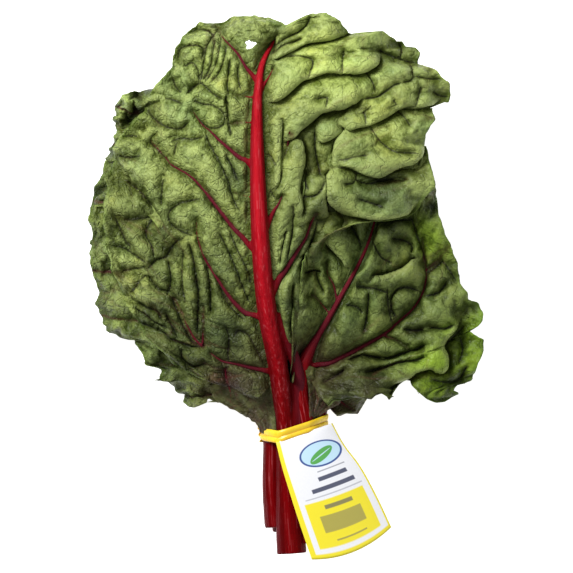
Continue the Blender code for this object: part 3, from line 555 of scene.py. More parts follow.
def smooth_through(points, places):
    """A smooth curve through the points, read at places counted 0 at the first point, 1 at the second."""
    points = np.asarray(points, float)
    held = np.vstack([2 * points[0] - points[1], points, 2 * points[-1] - points[-2]])
    span = np.clip(np.floor(places).astype(int), 0, len(points) - 2)
    t = (np.asarray(places, float) - span)[:, None]
    a, b, c, d = (held[span + k] for k in range(4))
    return 0.5 * (2 * b + (c - a) * t + (2 * a - 5 * b + 4 * c - d) * t**2 + (3 * b - a - 3 * c + d) * t**3)


def unit(vectors):
    return vectors / np.maximum(np.linalg.norm(vectors, axis=-1, keepdims=True), 1e-9)


def ease(x):
    """0 to 1, flat at both ends."""
    x = np.clip(x, 0.0, 1.0)
    return x * x * (3 - 2 * x)


PATTERN_SIZE = 64  # noise and cells repeat after so many steps


class Noise:
    """Smooth noise over a plane, about -1 to 1, the same on each run."""

    def __init__(self, *seed):
        turns = np.random.default_rng(seed).random((PATTERN_SIZE, PATTERN_SIZE)) * math.tau
        self.slopes = np.stack([np.cos(turns), np.sin(turns)], axis=-1)

    def __call__(self, x, y):
        x0, y0 = np.floor(x).astype(int), np.floor(y).astype(int)
        fx, fy = x - x0, y - y0

        def corner(i, j):
            slope = self.slopes[(x0 + i) % PATTERN_SIZE, (y0 + j) % PATTERN_SIZE]
            return slope[..., 0] * (fx - i) + slope[..., 1] * (fy - j)

        u, v = (f**3 * (f * (f * 6 - 15) + 10) for f in (fx, fy))
        low = corner(0, 0) * (1 - u) + corner(1, 0) * u
        high = corner(0, 1) * (1 - u) + corner(1, 1) * u
        return 1.5 * (low * (1 - v) + high * v)


NONE_YET = 9.0  # more than any gap that is counted in cells or in shares of a way


def cell_gaps(x, y, *seed):
    """How far each place is from the nearest border between scattered cells, in cell widths."""
    jitter = np.random.default_rng(seed).random((PATTERN_SIZE, PATTERN_SIZE, 2)) * 0.8 + 0.1
    x0, y0 = np.floor(x).astype(int), np.floor(y).astype(int)
    nearest, second = np.full(x.shape, NONE_YET), np.full(x.shape, NONE_YET)
    for i in (-1, 0, 1):
        for j in (-1, 0, 1):
            spot = jitter[(x0 + i) % PATTERN_SIZE, (y0 + j) % PATTERN_SIZE]
            away = np.hypot(x0 + i + spot[..., 0] - x, y0 + j + spot[..., 1] - y)
            second = np.minimum(second, np.maximum(nearest, away))
            nearest = np.minimum(nearest, away)
    return second - nearest


LINE_STEPS = 4  # between two points of a line


def smooth_line(points):
    """A smooth line in plan through the points."""
    return smooth_through(points, np.linspace(0, len(points) - 1, (len(points) - 1) * LINE_STEPS + 1))


LINE_REACH = 25.0  # places further than this from a line's box aren't measured
NOT_NEAR = 40.0


def line_gap(x, y, line):
    """How far each place is from a line in plan, how far along the line, 0 to 1, its nearest point is, which side of
    the line the place is on (1 left, -1 right), and the step from the line to the place."""
    gap, along, side = np.full(x.shape, NOT_NEAR), np.zeros(x.shape), np.zeros(x.shape)
    step = np.zeros((*x.shape, 2))
    low, high = line.min(axis=0) - LINE_REACH, line.max(axis=0) + LINE_REACH
    near = (x > low[0]) & (x < high[0]) & (y > low[1]) & (y < high[1])
    px, py = x[near], y[near]
    best, where, left = np.full(px.shape, NOT_NEAR), np.zeros(px.shape), np.zeros(px.shape)
    steps = np.zeros((len(px), 2))
    for k, (a, b) in enumerate(zip(line, line[1:])):
        dx, dy = b - a
        length = math.hypot(dx, dy) + 1e-9
        t = np.clip(((px - a[0]) * dx + (py - a[1]) * dy) / length**2, 0, 1)
        away_x, away_y = px - a[0] - t * dx, py - a[1] - t * dy
        away = np.hypot(away_x, away_y)
        closer = away < best
        best = np.where(closer, away, best)
        where = np.where(closer, (k + t) / (len(line) - 1), where)
        left = np.where(closer, (dx * away_y - dy * away_x) / length / np.maximum(away, 1e-6), left)
        steps = np.where(closer[:, None], np.column_stack([away_x, away_y]), steps)
    gap[near], along[near], side[near], step[near] = best, where, left, steps
    return gap, along, side, step


class Spine:
    """A leaf's centre line, read by the length along it from the cut end."""

    STEPS = 400

    def __init__(self, leaf):
        self.points = smooth_through(leaf.spine, np.linspace(0, len(leaf.spine) - 1, self.STEPS))
        steps = np.linalg.norm(np.diff(self.points, axis=0), axis=1)
        self.lengths = np.concatenate([[0.0], np.cumsum(steps)])
        self.total = self.lengths[-1]
        self.base = float(np.interp(leaf.blade_y, self.points[:, 1], self.lengths))
        self.leaf = leaf

    def at(self, lengths):
        return np.column_stack([np.interp(lengths, self.lengths, self.points[:, k]) for k in range(3)])

    def on_midrib(self, shares):
        """Lengths along the spine for shares of the midrib: 0 at the blade's base, 1 at the midrib's end."""
        return self.base + np.asarray(shares, float) * (self.total - self.base)

    def directions(self, lengths):
        """Along the spine, and level to its right."""
        along = unit(self.at(lengths + 1.5) - self.at(lengths - 1.5))
        across = unit(np.cross(along, [0.0, 0.0, 1.0]))
        return along, across

    def rib_size(self, lengths):
        """Width and height of the stalk, and of the midrib that it tapers into."""
        share = np.clip((lengths - self.base) / (self.total - self.base), 0.0, 1.0)
        left_over = 1 - (1 - MIDRIB_AT_TIP) * share**self.leaf.taper
        begin, end, factor = SKINS[self.leaf.name].slim
        slim = 1 + (factor - 1) * ease((share - begin) / max(end - begin, 1e-6))
        return self.leaf.stalk[0] * left_over * slim, self.leaf.stalk[1] * left_over**1.15 * slim


def margin_wave(seed, side, places):
    """Up and down waves of a blade's margin, between about -1 and 1."""
    draw = np.random.default_rng([seed, int(side > 0)])
    total = np.zeros_like(places)
    for waves_per_panel in (0.37, 0.61, 0.93):
        total += np.sin(2 * math.pi * (waves_per_panel * places + draw.random())) / 2
    return total


def to_outline(outline, starts, ends, share):
    """Moves places on the margin that lie beyond the outline, or just inside it, onto the outline."""
    corners = np.array(outline, float)
    sides = np.diff(corners, axis=0)[None]
    ways = (ends - starts)[:, None, :2]
    gaps = corners[None, :-1] - starts[:, None, :2]
    turn = ways[..., 0] * sides[..., 1] - ways[..., 1] * sides[..., 0]
    turn = np.where(np.abs(turn) < 1e-6, 1e-6, turn)
    reached = (gaps[..., 0] * sides[..., 1] - gaps[..., 1] * sides[..., 0]) / turn
    along = (gaps[..., 0] * ways[..., 1] - gaps[..., 1] * ways[..., 0]) / turn
    beyond = np.where((along >= 0) & (along <= 1) & (reached > 0.3), reached, NONE_YET) - 1
    pick = np.abs(beyond).argmin(1)
    beyond = beyond[np.arange(len(ends)), pick]
    gap = beyond * np.linalg.norm(ways[:, 0], axis=1)
    weight = np.where(gap > 0, 1 - ease((gap - 5) / 5), 1.0) * (gap > -30) * share
    moved = ends.copy()
    moved[:, :2] += ways[:, 0] * (beyond * weight)[:, None]
    return moved


CELL_WIDTH = 15.0  # of the cushions between the finest veins


@dataclass
class HalfBlade:
    """One side of a blade before it grows: points in rows from base to tip by columns outwards, and its veins."""

    points: np.ndarray
    vein: np.ndarray
    twig: np.ndarray
    hold: np.ndarray
    growth: np.ndarray
    stretch: np.ndarray


TWIGS = (0.2, 0.36, 0.52, 0.67, 0.8)  # where fine veins leave a side vein, as shares of its length
FAR_OFF = 99.0


def vein_gaps(leaf, which, rows, out, row_gap, reach):
    """Distances over one side of a blade, in millimetres, to its side veins and to the fine veins between them."""
    place = rows[:, None]
    vein_gap = np.full(row_gap.shape, FAR_OFF)
    twig_gap = vein_gap.copy()
    draw = np.random.default_rng([leaf.seed, 7, which])
    for number in range(1, len((leaf.left, leaf.right)[which])):
        if (which, number) in leaf.plain_edges:
            continue
        vein_gap = np.minimum(vein_gap, np.abs(place - number) * row_gap)
        way = 1 if number % 2 else -1
        for begin in TWIGS:
            begin, way = begin + 0.06 * draw.random(), -way
            lane = number + way * 0.5 * np.clip((out - begin) / (1 - begin), 0, 1) ** (0.6 + 0.3 * draw.random())
            back_off = np.clip(begin - out, 0, None) * reach
            twig_gap = np.minimum(twig_gap, np.hypot((place - lane) * row_gap * 0.8, back_off))
    return vein_gap, twig_gap


def half_blade(leaf, spine, side, rows, out):
    """One side of the blade, smooth but for the rolls between its side veins and its waved margin."""
    skin = SKINS[leaf.name]
    which = int(side > 0)
    edges = leaf.left if side < 0 else leaf.right
    shares = [share for share, _ in edges] + [1.0]
    last = rows[-1]
    ends = smooth_through([end for _, end in edges] + [leaf.tip], rows)
    margin_run = np.concatenate([[0.0], np.cumsum(np.linalg.norm(np.diff(ends, axis=0), axis=1))])
    roots = spine.on_midrib(np.interp(rows, range(len(shares)), shares))
    along, across = spine.directions(roots)
    flange = spine.rib_size(roots)[0] / 2 + FLANGE
    ahead = ease(rows - last + 1)[:, None]
    outwards = unit(across * side * (1 - ahead) + along * ahead)
    start = spine.at(roots) + outwards * flange[:, None]

    # Small bays and lobes of the margin, fading out at the tip where both sides meet.
    at_tip = ease((last - rows) / 0.5)
    wander = Noise(leaf.seed, 40 + which)
    bay = 2.8 * wander(margin_run / 15, rows * 0) + 2.2 * wander(margin_run / 41, rows * 0 + 5.5)
    bay = bay * at_tip + skin.wider[which] * ease(rows / 0.5) * at_tip
    ends = to_outline(outline_of(leaf.name), start, ends + unit(ends - start) * bay[:, None], ease(rows / 0.5))
    ends = ends - unit(ends - start) * (1.2 + 0.9 * wander(margin_run / 5, rows * 0 + 3.5) * at_tip)[:, None]

    reach = np.linalg.norm(ends - start, axis=1)[:, None]
    out = out[None, :]
    surface = start[:, None] + (ends - start)[:, None] * out[..., None]
    surface[..., 2] = start[:, None, 2] + (ends - start)[:, None, 2] * out**1.4
    bow = leaf.sweep[which] * reach * (4 * out * (1 - out)) * np.sin(math.pi * rows / last)[:, None]
    surface[..., :2] -= bow[..., None] * along[:, None, :2]

    per_row = np.gradient(surface, rows, axis=0)
    per_column = np.gradient(surface, out[0], axis=1)
    row_gap = np.linalg.norm(np.cross(per_row, unit(per_column)), axis=-1)
    vein_gap, twig_gap = vein_gaps(leaf, which, rows, out, row_gap, reach)
    rib_gap = out * reach
    x, y = surface[..., 0], surface[..., 1]
    bend = Noise(leaf.seed, 50)
    cells = cell_gaps((x + 5 * bend(x / 21, y / 21)) / CELL_WIDTH, (y + 5 * bend(x / 21 + 9, y / 21 + 4)) / CELL_WIDTH,
                      leaf.seed, 60)
    patchy = ease(0.75 + bend(x / 33 + 3, y / 33 + 8))

    room = ease(reach / 45) * ease(rib_gap / 9)
    swell = np.abs(np.sin(math.pi * rows))[:, None] ** 0.6 * ease(out / 0.3) * (1 - 0.4 * out)
    folded = leaf.name in FOLDS
    puffed = leaf.back * leaf.puff[which] * skin.swell[which] * ease(reach / 45) * swell
    surface[..., 2] += puffed * (0.3 if folded else 1)
    surface[..., 2] += leaf.ruffle * ease(reach / 45) * out**2 * (margin_wave(leaf.seed, side, rows) * at_tip)[:, None]
    rim = ease((out - 0.72) / 0.28) * at_tip[:, None]
    waves = wander(margin_run / 9, rows * 0 + 2.5) * 2.0 + wander(margin_run / 22, rows * 0 + 8.5) * 3.0
    surface[..., 2] += rim * waves[:, None]
    surface[..., 2] -= leaf.back * skin.droop * ease((out - 0.8) / 0.2) * at_tip[:, None]

    thin = 1 - 0.6 * out
    vein = np.exp(-((vein_gap / (1.7 * thin)) ** 2))
    twig = np.maximum(np.exp(-((vein_gap / 0.8) ** 2)), np.exp(-((twig_gap / 0.7) ** 2)) * ease((out - 0.15) / 0.2))
    held_by_twigs = np.exp(-((twig_gap / 2.0) ** 2)) * 0.5
    held_by_cells = np.exp(-((cells * CELL_WIDTH / 1.6) ** 2)) * 0.35
    fine = skin.fine[which] * np.maximum(held_by_twigs, held_by_cells) * patchy
    hold = fine if folded else np.maximum(np.exp(-((vein_gap / 1.6) ** 2)) * (1 - 0.75 * out**2), fine)
    hold = np.maximum(hold, np.exp(-((rib_gap / 2.5) ** 2)))
    growth = 1 + (skin.growth[which] - 1) * room * (0.5 + patchy) * (1 + 0.4 * ease((out - 0.75) / 0.25))
    stretch = 1 + (growth - 1) * np.maximum(skin.along[which], ease((out - 0.75) / 0.25))
    if folded:
        vein, twig = vein * 0, np.exp(-((twig_gap / 0.7) ** 2)) * ease((out - 0.15) / 0.2)
    return HalfBlade(surface, vein * room, twig * room, hold, growth, stretch)


FOLD_SHADE = 4.0  # the masks of creases and rolls reach this far from them


def fold_lines(name, flat, hold, sides):
    """How much folds lift a blade, how they shift it in plan and hold it, and their masks."""
    folds = FOLDS[name]
    x, y = flat[..., 0], flat[..., 1]
    dip, drop, nose, vein, lit = (np.zeros(x.shape) for _ in range(5))
    shift = np.zeros((*x.shape, 2))
    # How near the creases and the feet of rolls are: the material paints shade along them.
    crease, crease_side = np.full(x.shape, FOLD_SHADE), np.full(x.shape, FOLD_SHADE)

    def note(gap, side):
        closer = gap < crease
        crease[closer], crease_side[closer] = gap[closer], (gap * side)[closer]

    for root, end, points in folds.veins:
        gap, along, _, _ = line_gap(x, y, smooth_line(points))
        width = root + (end - root) * along**0.7
        dip = np.maximum(dip, np.exp(-np.maximum(gap - width / 3, 0) / 3.0))
        hold = np.maximum(hold, np.exp(-((gap / (0.45 * width + 0.6)) ** 2)))
        vein = np.maximum(vein, np.exp(-((gap / (0.4 * width + 0.35)) ** 2)) * (1 - 0.5 * along))
    for depth, width, points in folds.creases:
        gap, along, side, _ = line_gap(x, y, smooth_line(points))
        fade = ease(np.minimum(along, 1 - along) * 6 + 0.35)
        dip = np.maximum(dip, min(0.1 + depth / 9, 1) * np.exp(-gap / 2.3) * fade)
        drop = np.maximum(drop, 0.4 * depth * np.exp(-((gap / width / 0.5) ** 1.3) * 1.3) * fade)
        hold = np.maximum(hold, 0.9 * np.exp(-((gap / 1.1) ** 2)) * fade)
        note(gap + 1.5 * (1 - fade), side)
    for height, points in folds.rolls:
        gap, along, side, step = line_gap(x, y, smooth_line(points))
        fade = ease(np.minimum(along, 1 - along) * 7 + 0.15)
        over = ease((side + 1) / 2) * fade
        dip = np.maximum(dip, np.exp(-gap / (6.5 - 4.7 * over)) * fade)
        rise = np.exp(-gap / 11) * (1 - np.exp(-gap / 1.8))
        nose = np.maximum(nose, 1.5 * height * rise * over)
        # A painted highlight along the nose of each roll.
        lit = np.maximum(lit, np.exp(-(((gap - 2.4) / 1.5) ** 2)) * over)
        lip = 3.2 * gap / 2.2 * np.exp(1 - gap / 2.2)
        shift -= step / np.maximum(gap, 1e-6)[..., None] * (lip * over)[..., None]
        hold = np.maximum(hold, 0.9 * np.exp(-((gap / 1.3) ** 2)) * fade)
        note(gap + 1.5 * (1 - fade), side)
    puff = np.where(sides < 0, folds.puff[0], folds.puff[1])
    lift = puff * (1 - dip) + nose - drop
    return lift, shift, hold, {"vein": vein, "lit": lit, "crease": crease / FOLD_SHADE,
                               "crease_side": crease_side / FOLD_SHADE}


def whole(left, middle, right):
    """Both sides of a blade as one grid, from the left margin over the midrib to the right margin."""
    return np.concatenate([left[:, ::-1], middle, right], axis=1)


def pull(points, free, rest, first, second, strength):
    """Moves pairs of points towards their rest distance."""
    away = points[(slice(None), *second)] - points[(slice(None), *first)]
    length = np.sqrt((away**2).sum(0)) + 1e-6
    a, b = free[first], free[second]
    share = strength * (length - rest) / (length * (a + b + 1e-6))
    points[(slice(None), *first)] += a * share * away
    points[(slice(None), *second)] -= b * share * away


def pairs(shape, step):
    """Groups of point pairs, each a step apart, in which no point comes twice."""
    down, over = step
    groups = []
    if down and over:
        near, far = slice(0, shape[1] - abs(over)), slice(abs(over), shape[1])
        columns = (near, far) if over > 0 else (far, near)
        for begin in (0, 1):
            count = (shape[0] - begin) // 2
            groups.append(((slice(begin, begin + 2 * count, 2), columns[0]),
                           (slice(begin + 1, begin + 1 + 2 * count, 2), columns[1])))
        return groups
    gap, axis = max(down, over), int(over > 0)
    for begin in range(2 * gap):
        starts = np.arange(begin, shape[axis] - gap, 2 * gap)
        if not len(starts):
            continue
        first = slice(int(starts[0]), int(starts[-1]) + 1, 2 * gap)
        second = slice(int(starts[0]) + gap, int(starts[-1]) + gap + 1, 2 * gap)
        groups.append(((first, slice(None)), (second, slice(None))) if axis == 0
                      else ((slice(None), first), (slice(None), second)))
    return groups


def grown(start, flat, growth, stretch, hold, rim, push, floor, steps, stiff):
    """Lets a sheet outgrow the flat shape that its veins hold it to, so that it buckles into folds.

    start, flat   grids of points: the shape to begin from, and the shape held to
    growth        how much longer the sheet is at each point from row to row
    stretch       the same, from the midrib outwards
    hold, rim     how firmly the sheet is held at each point, and how much more firmly in level directions
    push          a steady small move of free points at each step
    floor         lowest height allowed at each point
    """
    points = np.ascontiguousarray(np.moveaxis(start, 2, 0), np.float32)
    flat = np.ascontiguousarray(np.moveaxis(flat, 2, 0), np.float32)
    shape = points.shape[1:]
    free = (1 - np.clip(hold, 0, 1)).astype(np.float32) + 0.02
    free[:, shape[1] // 2 - 1:shape[1] // 2 + 2] = 0.0
    links = []
    springs = (((0, 1), 1.0), ((1, 0), 1.0), ((1, 1), 0.6), ((1, -1), 0.6), ((0, 2), stiff), ((2, 0), stiff))
    for step, strength in springs:
        ways = {(True, False): growth, (False, True): stretch}
        more = ways.get((step[0] != 0, step[1] != 0), np.sqrt(growth * stretch))
        for first, second in pairs(shape, step):
            gap = np.sqrt(((flat[(slice(None), *second)] - flat[(slice(None), *first)]) ** 2).sum(0))
            longer = (more[first] + more[second]) / 2
            links.append((first, second, (gap * longer).astype(np.float32), strength))
    back = (0.002 + 0.25 * np.clip(hold, 0, 1) ** 2).astype(np.float32)
    level_back = back + 0.01 + rim
    push = np.moveaxis(np.asarray(push, np.float32), 2, 0) * free
    for _ in range(steps):
        points += push
        for first, second, rest, strength in links:
            pull(points, free, rest, first, second, strength)
        points[:2] += (flat[:2] - points[:2]) * level_back
        points[2] += (flat[2] - points[2]) * back
        points[2] = np.maximum(points[2], floor)
        points[2] -= 0.3 * np.maximum(points[2] - CEILING, 0)
        seam = (points[:, -1] + points[:, -1, ::-1]) / 2
        points[:, -1] = seam
    return np.moveaxis(points, 0, 2).astype(float)


def finer(grid, shape):
    """A grid of points or values read at twice as many places each way."""
    for axis in (0, 1):
        moved = np.moveaxis(grid, axis, 0)
        places = np.arange(shape[axis]) / 2
        read = smooth_through(moved.reshape(len(moved), -1), places)
        grid = np.moveaxis(read.reshape(shape[axis], *moved.shape[1:]), 0, axis)
    return grid


def blurred(values, times):
    """Values of a grid averaged with their neighbours."""
    for _ in range(times):
        held = np.pad(values, 1, mode="edge")
        values = (held[:-2, 1:-1] + held[2:, 1:-1] + held[1:-1, :-2] + held[1:-1, 2:] + 2 * values) / 6
    return values


def spots(points, places):
    """Soft spots on a blade, added up: each (x, y, size, how much)."""
    total = np.zeros(points.shape[:2])
    for x, y, size, value in places:
        total += value * np.exp(-(((points[..., 0] - x) ** 2 + (points[..., 1] - y) ** 2) / size**2))
    return total


# Coarse to fine: how much of the growth a level takes on, its steps, and how stiff the sheet is against bending.
LEVELS = ((1.0, 260, 0.7), (1.05, 70, 0.5), (1.05, 30, 0.4))
COARSE = 2 ** (len(LEVELS) - 1)
SLACK = 1.1  # rows and columns allow for a margin this much longer than the straight way
LOWEST = 0.3  # no point of a blade lies lower


def row_places(leaf, spacing):
    """Places of the blade's rows, close enough along both margins, with a row on each side vein."""
    places = [0.0]
    for panel in range(len(leaf.left)):
        widest = 0.0
        for edges in (leaf.left, leaf.right):
            ends = np.array([end for _, end in edges] + [leaf.tip], float)
            widest = max(widest, np.linalg.norm(ends[panel + 1] - ends[panel]))
        steps = COARSE * max(2, round(widest * SLACK / spacing / COARSE))
        places += [panel + (k + 1) / steps for k in range(steps)]
    return np.array(places)


@dataclass
class Blade:
    """A grown blade as one grid of points, with the masks that its material reads."""

    leaf: Leaf
    spine: Spine
    rows: np.ndarray
    points: np.ndarray
    masks: dict

    def row(self, side, number):
        """Points of a row from the midrib out."""
        at = int(np.argmin(np.abs(self.rows - number)))
        middle = self.points.shape[1] // 2
        return self.points[at, middle + 1:] if side > 0 else self.points[at, middle - 1::-1]

    def laid(self, line):
        """A line in plan laid on the blade."""
        gaps = ((self.points[None, ..., :2] - line[:, None, None]) ** 2).sum(-1).reshape(len(line), -1)
        heights = self.points[..., 2].ravel()[gaps.argmin(1)]
        held = np.pad(heights, 2, mode="edge")
        return np.column_stack([line, np.convolve(held, np.ones(5) / 5, "valid")])


def settled(leaf, flat, growth, stretch, hold, rim, push, lowest):
    """The points of a blade, grown from coarse to fine and kept within its outline."""
    seeds = Noise(leaf.seed, 70)
    points = None
    for level, (share, steps, stiff) in zip(reversed(range(len(LEVELS))), LEVELS):
        pick = (slice(None, None, 2**level),) * 2
        free = 1 - hold[pick]
        if points is None:
            points = flat[pick].copy()
            x, y = points[..., 0], points[..., 1]
            points[..., 2] += leaf.back * (0.8 + seeds(x / 14, y / 14) + 0.6 * seeds(x / 7 + 5, y / 7)) * free
        else:
            points = finer(points, flat[pick].shape[:2])
            x, y = points[..., 0], points[..., 1]
            points[..., 2] += 0.15 * seeds(x / 5 + level, y / 5) * free
        points = grown(points, flat[pick], 1 + (growth[pick] - 1) * share, 1 + (stretch[pick] - 1) * share,
                       hold[pick], rim[pick], push[pick], lowest[pick], steps, stiff)
    points = kept_inside(points, outline_of(leaf.name))
    points[..., 2] = np.maximum(points[..., 2], LOWEST)
    return points


def surface_masks(leaf, points, middle):
    """Masks of a grown blade: its crests and hollows for painted light and painted shade, its margin and base, and the
    spots of its skin.
    """
    skin, columns = SKINS[leaf.name], points.shape[1] // 2
    z = points[..., 2] * leaf.back
    # Painted light on crests and painted shade in hollows, by the blade's height against the heights round it.
    near, far = blurred(z, 5), blurred(z, 120)
    crest = np.clip(0.5 + (z - 0.4 * near - 0.6 * far) / 8, 0, 1)
    groove = np.clip(np.maximum((near - z) / 0.8, (far - z) / 6) - 0.15, 0, 1)
    size = np.linalg.norm(points - middle, axis=-1)
    reach = whole(size[:, :1].repeat(columns, 1), np.zeros((len(points), 1)), size[:, -1:].repeat(columns, 1))
    # The margin, which the material paints young green with a painted highlight.
    edge = ease((size - reach + 4) / 4)
    base = 1 - ease(np.linalg.norm(points - points[0, columns], axis=-1) / 70)
    painted_light_and_shade, stain, fresh = (spots(points, kind) for kind in (skin.light_and_shade_spots, skin.stains, skin.fresh))
    worn = ease((10 - points[..., 0]) / 30)
    return {"crest": crest, "groove": groove, "edge": edge, "base": np.maximum(base, stain), "painted_light_and_shade": painted_light_and_shade,
            "fresh": fresh, "worn": worn}


@lru_cache(maxsize=None)
def blade_of(name):
    """A leaf's blade, grown from coarse to fine."""
    leaf = next(leaf for leaf in LEAVES if leaf.name == name)
    skin = SKINS[name]
    spine = Spine(leaf)
    spacing = skin.spacing * 1.0
    rows = row_places(leaf, spacing)
    widest = max(math.dist(end[:2], spine.at(spine.on_midrib([share]))[0][:2])
                 for share, end in leaf.left + leaf.right)
    columns = COARSE * round(widest * SLACK / spacing / COARSE)
    out = np.linspace(0, 1, columns + 1)[1:] ** 0.92
    left, right = (half_blade(leaf, spine, side, rows, out) for side in (-1, 1))

    shares = [np.interp(rows, range(len(side) + 1), [s for s, _ in side] + [1.0]) for side in (leaf.left, leaf.right)]
    roots = spine.on_midrib((shares[0] + shares[1]) / 2)
    middle = spine.at(roots)[:, None]
    along, _ = spine.directions(roots)
    blank = np.zeros((len(rows), 1))
    flat = whole(left.points, middle, right.points)
    growth = whole(left.growth, blank + 1, right.growth)
    stretch = whole(left.stretch, blank + 1, right.stretch)
    hold = whole(left.hold, blank + 1, right.hold)
    lean = np.concatenate([np.full(columns, skin.lean[0]), [0], np.full(columns, skin.lean[1])])
    push = -along[:, None] * lean[None, :, None] * 0.05
    push[..., 2] = 0.05 * leaf.back
    lowest = np.maximum(flat[..., 2] - (1.5 if leaf.back > 0 else 5.0), LOWEST)
    sag = spots(flat, skin.sag)
    flat[..., 2] -= sag
    lowest = lowest - sag
    masks = {"vein": whole(left.vein, blank, right.vein), "twig": whole(left.twig, blank, right.twig)}
    if name in FOLDS:
        sides = np.concatenate([-np.ones(columns), [0], np.ones(columns)])[None]
        lift, shift, hold, lines = fold_lines(name, flat, hold, sides)
        inner = ease(whole(out[None], np.zeros((1, 1)), out[None]) / 0.08)
        flat[..., 2] += leaf.back * lift * inner
        flat[..., :2] += shift * inner[..., None]
        masks.update(lines)
    rim = 0.12 * np.broadcast_to(whole(out[None] ** 12, np.zeros((1, 1)), out[None] ** 12), hold.shape)
    points = settled(leaf, flat, growth, stretch, hold, rim, push, lowest)
    masks.update(surface_masks(leaf, points, middle))
    return Blade(leaf, spine, rows, points, masks)


# ---- meshes ----


def select(*pieces):
    """Selects these pieces alone, and makes the first one active."""
    if bpy.context.mode != "OBJECT":
        bpy.ops.object.mode_set(mode="OBJECT")
    bpy.ops.object.select_all(action="DESELECT")
    for piece in pieces:
        piece.select_set(True)
    if pieces:
        bpy.context.view_layer.objects.active = pieces[0]


def sheet_of(name, grid):
    """A sheet of four-sided faces through a grid of points in millimetres, rows by columns."""
    select()
    rows, columns = grid.shape[:2]
    bpy.ops.mesh.primitive_grid_add(x_subdivisions=columns - 1, y_subdivisions=rows - 1, size=1)
    piece = bpy.context.object
    piece.name = piece.data.name = name
    piece.data.vertices.foreach_set("co", (grid * MM).astype(np.float32).ravel())
    piece.data.update()
    return piece


def add_mask(piece, name, values):
    attribute = piece.data.attributes.new(name, "FLOAT", "POINT")
    attribute.data.foreach_set("value", np.asarray(values, np.float32).ravel())


def apply_modifiers(piece):
    bpy.context.view_layer.objects.active = piece
    for modifier in list(piece.modifiers):
        bpy.ops.object.modifier_apply(modifier=modifier.name)


def edit(piece, *steps):
    """Runs edit mode steps on the whole mesh."""
    select(piece)
    bpy.ops.object.mode_set(mode="EDIT")
    bpy.ops.mesh.select_all(action="SELECT")
    for step in steps:
        step()
    bpy.ops.object.mode_set(mode="OBJECT")


def give_thickness(piece, thickness):
    solidify = piece.modifiers.new("Thickness", "SOLIDIFY")
    solidify.thickness = thickness * MM
    solidify.offset = 0.0
    apply_modifiers(piece)


def finish_piece(piece, material, node):
    """Gives a piece its material, and puts it in the place of the frame's node."""
    piece.data.materials.clear()
    piece.data.materials.append(material)
    select(piece)
    bpy.ops.object.shade_smooth()
    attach(piece, BODY)
    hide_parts(node)


def tube_of(name, rings):
    """A closed tube through rings of points in millimetres."""
    rings = np.asarray(rings, float)
    closed = np.concatenate([rings, rings[:, :1]], axis=1)
    piece = sheet_of(name, closed)
    edit(piece, lambda: bpy.ops.mesh.remove_doubles(threshold=1e-7), lambda: bpy.ops.mesh.fill_holes(sides=0),
         lambda: bpy.ops.mesh.normals_make_consistent(inside=False))
    return piece


LONGEST_ROUND = 22.0  # a face with more edge than this is drawn out across a bay of the margin
PAST_MARGIN = 1.2  # faces further out than this are taken out
HOLE = (-27, 180)  # the ragged hole near the top
HOLE_SIZE = (3.6, 3.0)


def take_out(piece, gone):
    """Takes out faces by a test of their centre in plan and their perimeter, in millimetres: gone(x, y, way)."""
    work = bmesh.new()
    work.from_mesh(piece.data)
    centres = np.array([face.calc_center_median() for face in work.faces]) / MM
    rounds = np.array([face.calc_perimeter() for face in work.faces]) / MM
    picked = gone(centres[:, 0], centres[:, 1], rounds)
    bmesh.ops.delete(work, geom=[face for face, out in zip(work.faces, picked) if out], context="FACES")
    work.to_mesh(piece.data)
    work.free()


def in_hole(x, y, _):
    """Whether faces are in the ragged hole near the top."""
    across, up = (x - HOLE[0]) / HOLE_SIZE[0], (y - HOLE[1]) / HOLE_SIZE[1]
    turn = np.arctan2(up, across)
    return np.hypot(across, up) < 1 + 0.22 * np.sin(3 * turn + 1) + 0.12 * np.sin(5 * turn)


def make_blade(name, settings):
    blade = blade_of(name)
    piece = sheet_of(f"{name}_green_blade", blade.points)
    for mask, values in blade.masks.items():
        add_mask(piece, mask, values)
    edit(piece, lambda: bpy.ops.mesh.remove_doubles(threshold=1e-6))

    def outside(x, y, way):
        gap = beyond_outline(x, y, outline_of(name))[0]
        return (gap > PAST_MARGIN) | ((gap > 0) & (way > LONGEST_ROUND))

    take_out(piece, outside)
    if name == "front_leaf":
        take_out(piece, in_hole)
    give_thickness(piece, settings.blade_thickness / MM)
    finish_piece(piece, leaf_material(name, settings), f"{name}_blade")


# Narrow lower ends of two blades beside the ribs, from the tie up: (inner place, outer place).
WINGS = {
    "left_wing": (
        ((-7, -114, 35), (-20, -110, 27)), ((-8, -104, 37), (-23, -103.5, 28.5)), ((-8.5, -96, 38), (-31, -97.5, 29)),
        ((-9.5, -86, 39), (-44, -91, 29)), ((-10.5, -76, 40), (-54, -85, 30)), ((-11.5, -66, 41), (-58, -74, 32))),
    "right_wing": (
        ((16.5, -108, 36), (25, -104, 29)), ((17, -98, 38), (26, -97, 30)), ((17, -88, 38.5), (33, -92, 30)),
        ((16.5, -78, 39), (40, -88, 30)), ((15, -68, 39.5), (42, -78, 32)), ((13, -58, 40), (40, -68, 34))),
}


